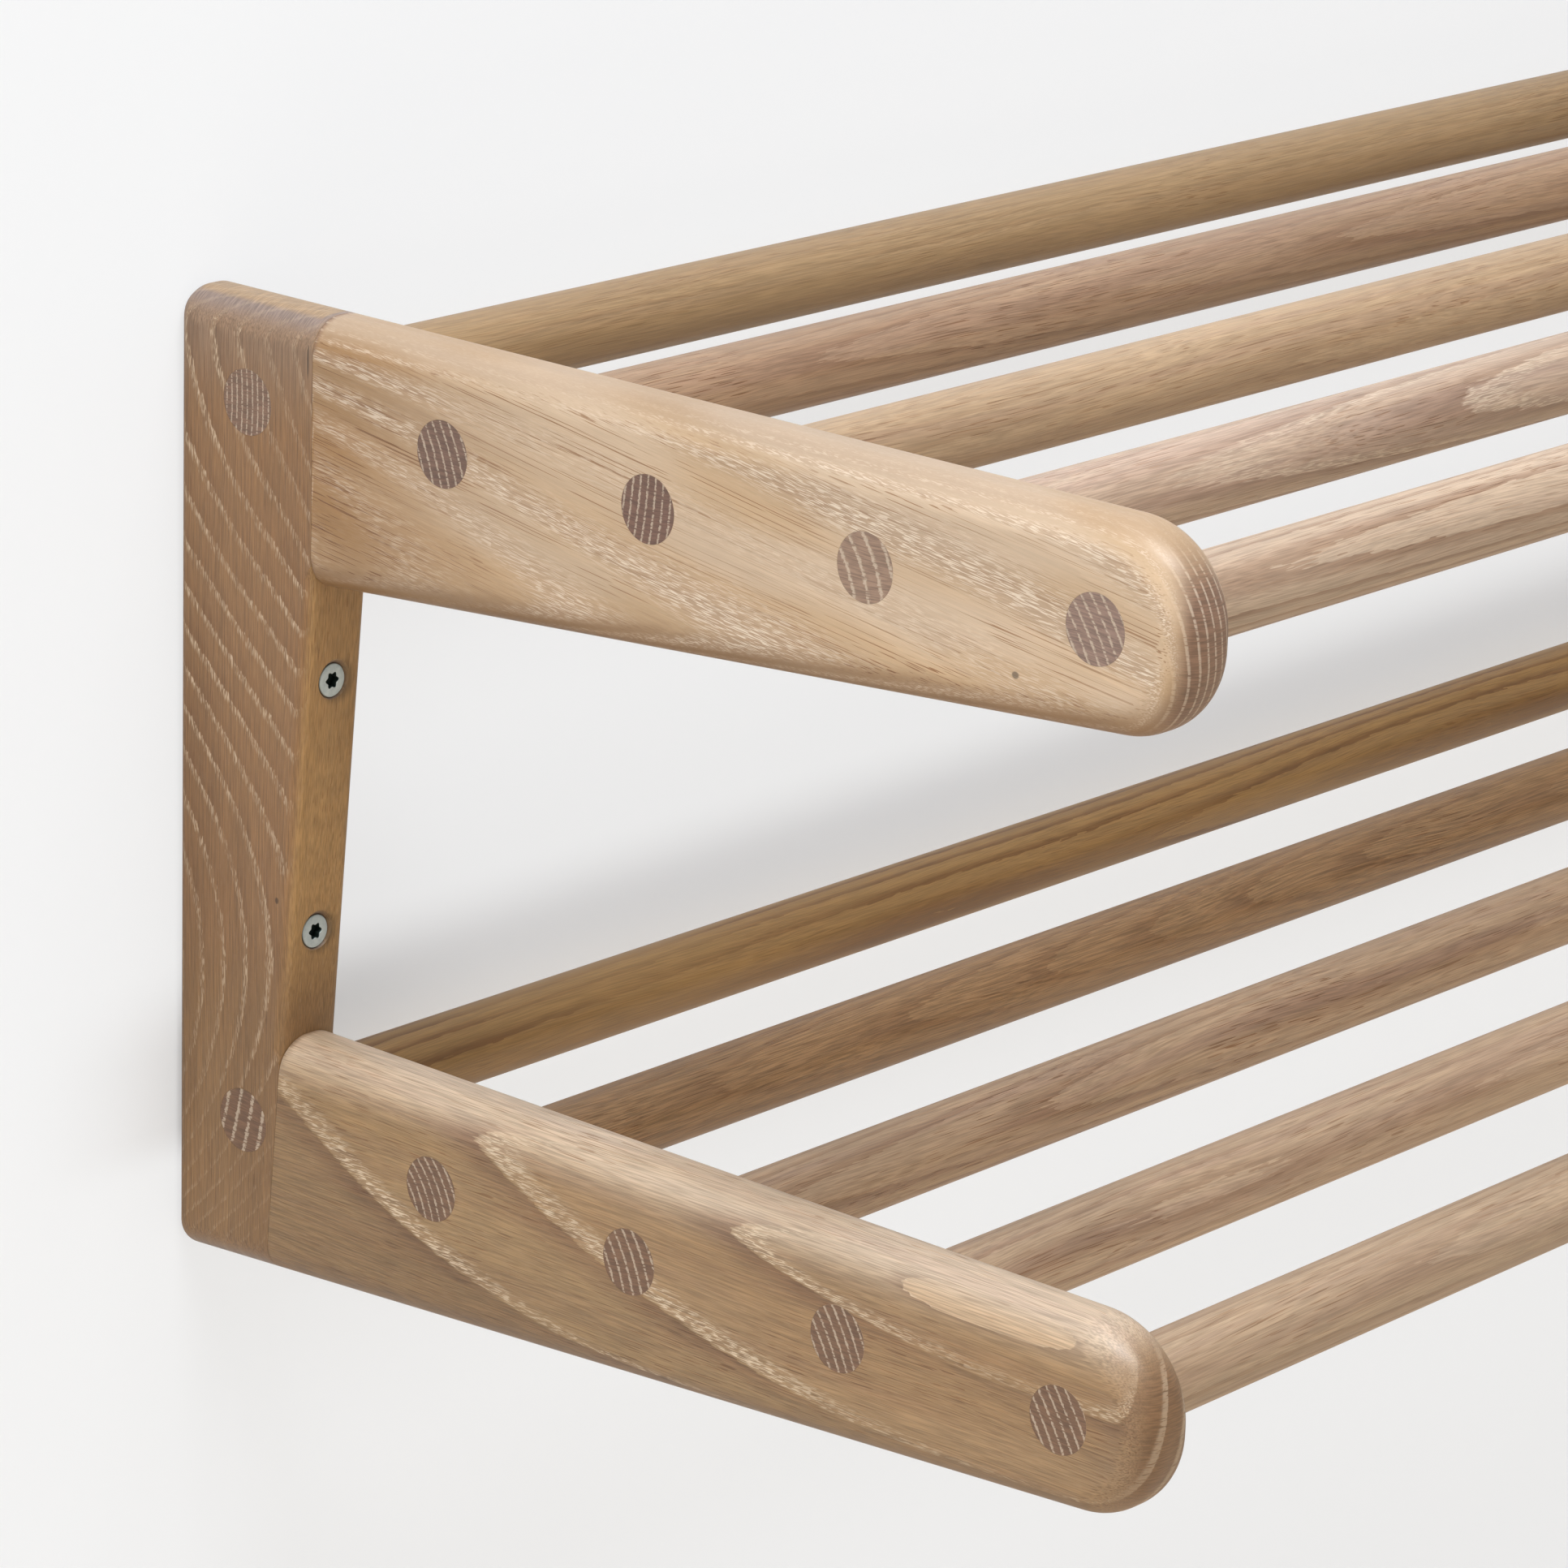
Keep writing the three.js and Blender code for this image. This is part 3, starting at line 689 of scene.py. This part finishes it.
def burnish(x, z):
    """A rubbed brown patch beside a screw head, low on its inner side."""
    return (x + 0.0014, float(front_of_upright(z)), z - 0.0004), (0.0072, 0.02, 0.0072), 0.6


screw_x = LENGTH / 2 - BOARD / 2
pin_knot = ((-LENGTH / 2, -0.039, -0.0617), (0.0008, 0.0008, 0.0011), 0.8)
short_crack = ((-LENGTH / 2, -0.0491, 0.0896), (0.0008, 0.0003, 0.006), 0.9)
upright_marks = [burnish(x, z) for x in (-screw_x, screw_x) for z in SCREW_HEIGHTS]
upright_marks += [pin_knot, short_crack]
upright_oak = oak("upright_oak", 2, 0.3, (142, 107, 71), (208, 186, 158), (134, 117, 108),
                  top_tone=(158, 132, 102), band=0.3, tint=0.35, band_tone=(162, 135, 105), dashes=0.85,
                  late=0.5, late_tone=(0.76, 0.68, 0.61), streaks=0.45, lengths=(90, 420), fineness=3800,
                  threads=0.55, clouds=0.03, mauve=0.08, ragged=0.25, end_lines=0.15,
                  zones=[((0, 0, 1), 0.066, 0.098, (142, 117, 95)), ("front", 0.5, 0.97, (167, 132, 86)),
                         # Painted shade: the upright darkens low down, towards the top of the lower arm.
                         ((0, 0, 1), -0.066, -0.1, (138, 106, 70))],
                  marks=upright_marks)
for side, x in (("left", -LENGTH / 2), ("right", LENGTH / 2 - BOARD)):
    holes = np.array([[-FIRST_ROD_TO_WALL, UPPER_RODS_Z], [-FIRST_ROD_TO_WALL, LOWER_RODS_Z]])
    upright = board(side + "_upright_oak", x, upright_outline(), holes, upright_rings)
    cut_away(upright, [countersink(x + BOARD / 2, z) for z in SCREW_HEIGHTS])
    finish_board(upright, (0, 0, 1), 9, quiet_below=-0.13)
    upright.data.materials.clear()
    upright.data.materials.append(upright_oak)
    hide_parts(side + "_upright")
    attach(upright, "root")


# The four arms: oak boards butted against the uprights and glued over hidden dowels. Each has a level top,
# a rising underside and a round nose, all run with the same round-over, and four through holes for the rods.

NOSE_PAST_ROD = 0.0274
NOSE_TOP_RADIUS = 0.026
NOSE_BOTTOM_RADIUS = 0.0235
NOSE_Y = LAST_ROD_Y - NOSE_PAST_ROD
NOSE_TOP_STEPS = 28
NOSE_BOTTOM_STEPS = 26
ARM_POINTS = 120


def arm_outline(rods_z, drop, rise, butt):
    """An arm's side outline: butt top, level top edge, nose in two arcs, straight underside, butt bottom."""
    top = rods_z + RIM_OVER_RODS
    head = np.array([float(front_of_upright(top)) - JOINT, top])
    slant = math.hypot(1, rise)
    slope = math.degrees(math.atan(rise))
    low_y = NOSE_Y + NOSE_BOTTOM_RADIUS
    low_z = underside(low_y, rods_z, drop, rise) + NOSE_BOTTOM_RADIUS * slant
    up_butt = (head - butt) / np.hypot(*(head - butt))
    out_of_underside = np.array([rise, 1]) / slant
    top_y = np.linspace(head[0], NOSE_Y + NOSE_TOP_RADIUS, ARM_POINTS)[1:-1]
    upper_centre = (NOSE_Y + NOSE_TOP_RADIUS, top - NOSE_TOP_RADIUS)
    upper_out, upper_nose = arc(upper_centre, NOSE_TOP_RADIUS, 90, 180, NOSE_TOP_STEPS)
    lower_centre = (low_y, low_z)
    lower_out, lower_nose = arc(lower_centre, NOSE_BOTTOM_RADIUS, 180, 270 - slope, NOSE_BOTTOM_STEPS)
    under_y = np.linspace(lower_nose[-1, 0], butt[0], ARM_POINTS)[1:-1]
    under = np.stack([under_y, underside(under_y, rods_z, drop, rise)], 1)
    return np.concatenate([
        edge_points(head, up_butt / -up_butt[1], OUTER_ROUNDING),
        edge_points(np.stack([top_y, np.full_like(top_y, top)], 1), (0, -1), OUTER_ROUNDING),
        edge_points(upper_nose, -upper_out, OUTER_ROUNDING),
        edge_points(lower_nose, -lower_out, OUTER_ROUNDING),
        edge_points(under, out_of_underside, OUTER_ROUNDING),
        edge_points(butt, up_butt / (up_butt @ out_of_underside), OUTER_ROUNDING),
    ])


def upper_arm_rings(x, y, z):
    """Growth rings of an upper arm: a cubic whose level lines are long tongues that point at the nose."""
    u, v = (y + 180) / 50, (z - 68) / 50
    face = (2.95 + 2.466 * v + 0.669 * v**2 - 0.167 * v**3 - 0.515 * u + 0.259 * u * v + 0.525 * u * v**2
            - 0.052 * u**2 + 0.111 * u**2 * v - 0.016 * u**3)
    return face + x / 2.7


def lower_arm_rings(x, y, z):
    """Growth rings of a lower arm: nested tongues about a long flat oval near the nose, from a cubic plus the
    logarithm of the oval's distance. They count down outwards and stop before the fourth, and the oval
    itself is plain wood."""
    u, v = (y + 200) / 100, (z + 130) / 30
    oval = np.sqrt(((y + 290) / 45) ** 2 + ((z + 106) / 6.5) ** 2 + 0.05)
    face = (0.381 - 0.009 * v + 0.256 * v**2 - 0.328 * v**3 + 0.478 * u - 0.182 * u * v - 0.114 * u * v**2
            + 0.18 * u**2 - 0.053 * u**2 * v + 0.008 * u**3 + 0.885 * np.log(oval) + x / 9)
    return np.clip(np.where(face > 0, -face, -8 * face), -3.62, 0.45)


arm_knot = ((-LENGTH / 2, -0.2909, 0.0575), (0.0009, 0.0013, 0.0011), 0.8)
upper_butt_y = -UPRIGHT_DEPTH - JOINT
upper_butt = np.array([upper_butt_y, underside(upper_butt_y, UPPER_RODS_Z, UPPER_DROP[0], upper_rise)])
upper_oak = oak("upper_arm_oak", 1, 1.9, (208, 184, 156), (238, 224, 204), (121, 92, 74), tilt=-8.0,
                band=0.9, band_edge=0.35, band_tone=(188, 160, 134), tint=0.7, dashes=0.8, late=0.1,
                streaks=1.0, lengths=(12, 260), fineness=4500, threads=0.14, clouds=0.02, mauve=0.05,
                golden=0.8, wander=0.8, ragged=0.1, end_lines=0.35,
                zones=[((0, 1, 0), -0.15, -0.05, (166, 132, 92)), ((0, -1, 0), 0.17, 0.29, (218, 194, 166)),
                       # Darker towards the lower edge: partly the wood's own tone, partly painted shade.
                       ((0, -0.075, -1), -0.037, -0.023, (176, 147, 114)),
                       # The under zone is painted shade on the downward faces.
                       ("top", 0.2, 0.9, (174, 151, 127)), ("under", 0.0, 0.95, (142, 113, 83))],
                marks=[arm_knot])
lower_oak = oak("lower_arm_oak", 1, 0.8, (147, 118, 82), (222, 203, 176), (120, 90, 62), band=0.22,
                band_tone=(184, 157, 128), tint=0.3, dashes=0.95, late=0.75, late_from=0.72,
                late_tone=(0.55, 0.44, 0.42), streaks=0.7, lengths=(90, 320), fineness=4200, threads=0.6,
                clouds=0.05, golden=0.35, wander=0.15, ragged=0.06, end_lines=0.3,
                zones=[(None, -3.1, -2.9, (158, 129, 91)), (None, -2.3, -1.6, (165, 134, 97)),
                       ((0, 0, 1), -0.116, -0.104, (182, 160, 135)), (None, 0.0, 0.06, (200, 172, 140)),
                       # The under zone is painted shade on the downward faces.
                       ("top", 0.2, 0.9, (190, 170, 148)), ("under", 0.2, 0.8, (132, 104, 74)),
                       ((0, -1, 0), 0.322, 0.338, (158, 130, 100))])
rod_y = -FIRST_ROD_TO_WALL - ROD_PITCH * np.arange(1, RODS_PER_TIER)
for side, x in (("left", -LENGTH / 2), ("right", LENGTH / 2 - BOARD)):
    for tier, rods_z, drop, rise, butt, rings, material in (
        ("upper", UPPER_RODS_Z, UPPER_DROP[0], upper_rise, upper_butt, upper_arm_rings, upper_oak),
        ("lower", LOWER_RODS_Z, LOWER_DROP[0], lower_rise, foot_of_front(JOINT), lower_arm_rings, lower_oak),
    ):
        holes = np.stack([rod_y, np.full(RODS_PER_TIER - 1, rods_z)], 1)
        name = side + "_" + tier + "_arm"
        arm = board(name + "_oak", x, arm_outline(rods_z, drop, rise, butt), holes, rings)
        finish_board(arm, (0, 0.99, 0.12), 4)
        arm.data.materials.append(material)
        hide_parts(name)
        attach(arm, "root")


# The ten rods: straight-grained oak, turned to 22 mm, with ends turned down to tenons that go right through
# the frames and are sanded flush, so that each shows a disc of dark end grain with its growth rings.

ROD_RADIUS = 0.011
SHOULDER_GAP = 0.0003
SHOULDER_X = LENGTH / 2 - BOARD - SHOULDER_GAP
ROD_STEPS = 72
ROD_EASE = 0.0006
TENON_EASE = 0.00005
DISC_RINGS = (0.006, 0.003, 0.0005)
PLAIN_REACH = 0.36
PLAIN_RINGS = 25


def pole_caps(total, size):
    """Triangles that close the first and last rings, each about its own pole, which come after all rings."""
    step = np.arange(size)
    after = (step + 1) % size
    last = total - size
    first_cap = np.stack([np.full(size, total), after, step], 1)
    last_cap = np.stack([np.full(size, total + 1), last + step, last + after], 1)
    return np.concatenate([first_cap, last_cap]).tolist()


def rod_mesh(name, y, z):
    """A turned rod: a profile of distance and radius with eased shoulders, carried round in steps, and an end
    disc of rings that shrink to the middle. Faces of the discs are marked as end grain."""
    end = LENGTH / 2
    tenon = TENON_RADIUS
    disc = [(end, r) for r in (tenon - TENON_EASE, *DISC_RINGS)]
    half = [(SHOULDER_X - ROD_EASE, ROD_RADIUS), (SHOULDER_X - 0.3 * ROD_EASE, ROD_RADIUS - 0.15 * ROD_EASE),
            (SHOULDER_X, ROD_RADIUS - ROD_EASE), (SHOULDER_X, tenon), (end - TENON_EASE, tenon), *disc]
    body = [(v, ROD_RADIUS) for v in np.linspace(-PLAIN_REACH, PLAIN_REACH, PLAIN_RINGS)]
    profile = [(-a, r) for a, r in reversed(half)] + body + half
    skin, quads = turned_skin(profile, ROD_STEPS)
    poles = np.array([[-end, 0, 0], [end, 0, 0]])
    vertices = np.concatenate([skin, poles]) + [0, y, z]
    mesh = bpy.data.meshes.new(name)
    mesh.from_pydata(vertices.tolist(), [], quads.tolist() + pole_caps(len(skin), ROD_STEPS))
    mesh.shade_smooth()
    mesh.set_sharp_from_angle(angle=CREASE)
    centres = np.empty(len(mesh.polygons) * 3)
    mesh.polygons.foreach_get("center", centres)
    write_values(mesh, "end_grain", np.abs(centres.reshape(-1, 3)[:, 0]) > end - 1e-5, "FACE")
    rod = bpy.data.objects.new(name, mesh)
    bpy.context.scene.collection.objects.link(rod)
    return rod


def lay_rod(tier, number, rods_z, tone, end_tone, pith, ring_gap, slope,
            dashes, late, streaks, threads, mauve):
    """One rod with its own wood, its pith some way off in y and z from its axis. The rings run out of the rod
    by a slope in rings a metre, which draws them as long arches."""
    name = tier + "_rod_" + str(number)
    y = -FIRST_ROD_TO_WALL - ROD_PITCH * (number - 1)
    rod = rod_mesh(name + "_oak", y, rods_z)
    centre = (y + pith[0], rods_z + pith[1], ring_gap)
    material = oak(name + "_oak", 0, number + 10 * rods_z, tone, (216, 200, 178), end_tone, pith=centre,
                   slope=slope, band=0.35, tint=dashes / 6, dashes=dashes, late=late,
                   late_tone=(0.62, 0.52, 0.46), streaks=streaks, lengths=(70, 260), fineness=4200,
                   threads=threads, clouds=0.04, mauve=mauve, golden=0.1, wander=1.2, ragged=0.3,
                   wave=0.002, end_lines=0.6)
    rod.data.materials.append(material)
    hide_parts(name)
    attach(rod, "root")


lay_rod("upper", 1, UPPER_RODS_Z, (157, 130, 95), (125, 97, 80), (0.09, 0.004), 0.0020, 0,
        dashes=0.03, late=0.35, streaks=0.5, threads=0.4, mauve=0.2)
lay_rod("upper", 2, UPPER_RODS_Z, (160, 132, 106), (114, 87, 74), (0.07, -0.03), 0.0028, 8,
        dashes=0.05, late=0.6, streaks=0.9, threads=0.45, mauve=0.4)
lay_rod("upper", 3, UPPER_RODS_Z, (173, 147, 117), (110, 80, 68), (0.08, 0.01), 0.0025, 5,
        dashes=0.05, late=0.3, streaks=0.6, threads=0.4, mauve=0.4)
lay_rod("upper", 4, UPPER_RODS_Z, (180, 157, 137), (150, 123, 104), (0.034, -0.016), 0.0042, 9,
        dashes=0.5, late=0.6, streaks=0.7, threads=0.5, mauve=0.4)
lay_rod("upper", 5, UPPER_RODS_Z, (184, 162, 140), (142, 117, 105), (0.085, -0.055), 0.0028, 3,
        dashes=0.05, late=0.9, streaks=0.8, threads=0.45, mauve=0.25)
lay_rod("lower", 1, LOWER_RODS_Z, (146, 114, 70), (117, 87, 66), (0.08, 0.02), 0.0044, 3,
        dashes=0.0, late=1.2, streaks=0.4, threads=0.4, mauve=0.2)
lay_rod("lower", 2, LOWER_RODS_Z, (143, 112, 78), (117, 87, 66), (0.03, -0.018), 0.0026, 16,
        dashes=0.0, late=0.55, streaks=0.8, threads=0.7, mauve=0.1)
lay_rod("lower", 3, LOWER_RODS_Z, (167, 141, 114), (118, 87, 65), (0.06, -0.03), 0.0032, 6,
        dashes=0.03, late=0.65, streaks=0.8, threads=0.5, mauve=0.5)
lay_rod("lower", 4, LOWER_RODS_Z, (178, 153, 127), (118, 87, 65), (0.08, -0.04), 0.0028, 4,
        dashes=0.05, late=0.55, streaks=0.7, threads=0.45, mauve=0.45)
lay_rod("lower", 5, LOWER_RODS_Z, (168, 145, 120), (118, 87, 65), (0.07, -0.045), 0.0028, 5,
        dashes=0.05, late=0.6, streaks=0.7, threads=0.45, mauve=0.3)


# The four wall screws: zinc-plated steel, with a flat countersunk head, a six-lobe socket and a coarse
# thread. They go through the uprights from the front, between the arms, and on into the wall.

SOCKET_RADIUS = 0.00205
SOCKET_LOBE = 0.00032
SOCKET_DEPTH = 0.0022
SCREW_LENGTH = 0.090
SCREW_TIP = 0.007
THREAD_PITCH = 0.0026
THREAD_START = 0.030
THREAD_LEAD_IN = 0.003
CORE_RADIUS = 0.0016


def screw_mesh(name, x, z):
    """A screw as rings of points about its axis. Radius = profile + lobe x cos(6 angle) in the socket, and
    core + a triangular ridge that climbs one pitch a turn in the thread. Ridge and core taper off at the
    tip."""
    steps = SCREW_STEPS
    angle = 2 * np.pi * np.arange(steps) / steps
    thread = np.arange(THREAD_START, SCREW_LENGTH - 0.0002, THREAD_PITCH / 8)
    profile = [(SOCKET_DEPTH, 0.0012, 1), (SOCKET_DEPTH, SOCKET_RADIUS, 1), (0.00012, SOCKET_RADIUS, 1),
               (0.0, SOCKET_RADIUS + 0.00012, 1), (0.0, 0.0030, 0.3), (0.0, 0.0038, 0), (0.00002, 0.0042, 0),
               (0.00008, 0.0045, 0), (HEAD_RIM, HEAD_RADIUS, 0), (HEAD_RIM + 0.0002, HEAD_RADIUS - 0.0001, 0),
               (HEAD_RIM + HEAD_RADIUS - SHANK_RADIUS, SHANK_RADIUS, 0),
               (THREAD_START - 0.001, SHANK_RADIUS, 0)]
    along, radius, lobe = np.array(profile).T
    radius = radius[:, None] + SOCKET_LOBE * lobe[:, None] * np.cos(6 * angle)
    turn = (thread[:, None] / THREAD_PITCH - angle / (2 * np.pi)) % 1
    ridge = np.clip(1 - 3 * np.abs(turn - 0.5), 0, None)
    ridge = ridge * np.clip((thread[:, None] - THREAD_START) / THREAD_LEAD_IN, 0, 1)
    taper = np.clip((SCREW_LENGTH - thread[:, None]) / SCREW_TIP, 0.03, 1)
    radius = np.concatenate([radius, (CORE_RADIUS + (SHANK_RADIUS - CORE_RADIUS) * ridge) * taper])
    along = np.concatenate([along, thread])
    y = float(front_of_upright(z)) + SCREW_SINK + np.repeat(along, steps)
    rings = np.stack([x - (radius * np.cos(angle)).ravel(), y, z + (radius * np.sin(angle)).ravel()], 1)
    poles = np.array([[x, y[0], z], [x, float(front_of_upright(z)) + SCREW_SINK + SCREW_LENGTH, z]])
    faces = ring_quads(len(along), steps).tolist() + pole_caps(len(rings), steps)
    mesh = bpy.data.meshes.new(name)
    mesh.from_pydata(np.concatenate([rings, poles]).tolist(), [], faces)
    mesh.shade_smooth()
    mesh.set_sharp_from_angle(angle=CREASE)
    in_socket = np.zeros(len(mesh.vertices))
    # The first pole and the first three rings lie in the socket, which the zinc paints green-black as shade.
    in_socket[-2] = 1
    in_socket[: 3 * steps] = 1
    write_values(mesh, "socket", in_socket)
    screw = bpy.data.objects.new(name, mesh)
    bpy.context.scene.collection.objects.link(screw)
    return screw


def zinc():
    """Matt zinc plate: pale blue-grey with a cloudy bloom, and painted shade, green-black, down in the
    socket.
    """
    material = bpy.data.materials.new("screw_zinc")
    material.use_nodes = True
    tree = material.node_tree
    shader = tree.nodes["Principled BSDF"]
    where = tree.nodes.new("ShaderNodeTexCoord")
    cloud = tree.nodes.new("ShaderNodeTexNoise")
    cloud.inputs["Scale"].default_value = 700
    cloud.inputs["Detail"].default_value = 4
    tree.links.new(where.outputs["Object"], cloud.inputs["Vector"])
    bloom = tree.nodes.new("ShaderNodeMix")
    bloom.data_type = "RGBA"
    bloom.inputs[6].default_value = pigment(172, 192, 200)
    bloom.inputs[7].default_value = pigment(224, 236, 238)
    tree.links.new(cloud.outputs["Fac"], bloom.inputs[0])
    # Painted shade: the socket's faces are coloured green-black.
    depth = tree.nodes.new("ShaderNodeAttribute")
    depth.attribute_name = "socket"
    dark = tree.nodes.new("ShaderNodeMix")
    dark.data_type = "RGBA"
    dark.inputs[7].default_value = pigment(40, 54, 50)
    tree.links.new(depth.outputs["Fac"], dark.inputs[0])
    tree.links.new(bloom.outputs[2], dark.inputs[6])
    tree.links.new(dark.outputs[2], shader.inputs["Base Color"])
    shader.inputs["Metallic"].default_value = 0.6
    rough = tree.nodes.new("ShaderNodeMapRange")
    rough.inputs["To Min"].default_value = 0.34
    rough.inputs["To Max"].default_value = 0.5
    tree.links.new(cloud.outputs["Fac"], rough.inputs["Value"])
    tree.links.new(rough.outputs[0], shader.inputs["Roughness"])
    relief = tree.nodes.new("ShaderNodeBump")
    relief.inputs["Strength"].default_value = 0.15
    relief.inputs["Distance"].default_value = 0.0001
    tree.links.new(cloud.outputs["Fac"], relief.inputs["Height"])
    tree.links.new(relief.outputs[0], shader.inputs["Normal"])
    return material


screw_zinc = zinc()
for side, x in (("left", -screw_x), ("right", screw_x)):
    for level, z in zip(("upper", "lower"), SCREW_HEIGHTS):
        name = side + "_" + level + "_wall_screw"
        screw = screw_mesh(name + "_zinc", x, z)
        screw.data.materials.append(screw_zinc)
        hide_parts(name)
        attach(screw, "root")


# The eight joint dowels: plain beech pins, glued into both boards across each joint and hidden inside it.
# They keep their solids, and take a pale straight-grained beech.

def beech():
    """Pale pinkish beech: fine noise stretched along the dowel, with short dark rays."""
    material = bpy.data.materials.new("dowel_beech")
    material.use_nodes = True
    tree = material.node_tree
    shader = tree.nodes["Principled BSDF"]
    where = tree.nodes.new("ShaderNodeTexCoord")
    place = tree.nodes.new("ShaderNodeMapping")
    place.inputs["Scale"].default_value = (1400, 60, 1400)
    tree.links.new(where.outputs["Object"], place.inputs["Vector"])
    fleck = tree.nodes.new("ShaderNodeTexNoise")
    fleck.inputs["Scale"].default_value = 1
    fleck.inputs["Detail"].default_value = 3
    tree.links.new(place.outputs[0], fleck.inputs["Vector"])
    colour = tree.nodes.new("ShaderNodeMix")
    colour.data_type = "RGBA"
    colour.inputs[6].default_value = pigment(186, 146, 112)
    colour.inputs[7].default_value = pigment(222, 190, 156)
    tree.links.new(fleck.outputs["Fac"], colour.inputs[0])
    tree.links.new(colour.outputs[2], shader.inputs["Base Color"])
    shader.inputs["Roughness"].default_value = 0.65
    relief = tree.nodes.new("ShaderNodeBump")
    relief.inputs["Strength"].default_value = 0.2
    relief.inputs["Distance"].default_value = 0.0001
    tree.links.new(fleck.outputs["Fac"], relief.inputs["Height"])
    tree.links.new(relief.outputs[0], shader.inputs["Normal"])
    return material


dowel_beech = beech()
for side in ("left", "right"):
    for tier in ("upper", "lower"):
        for number in (1, 2):
            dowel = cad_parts[side + "_" + tier + "_joint_dowel_" + str(number)]
            dowel.data.materials.clear()
            dowel.data.materials.append(dowel_beech)
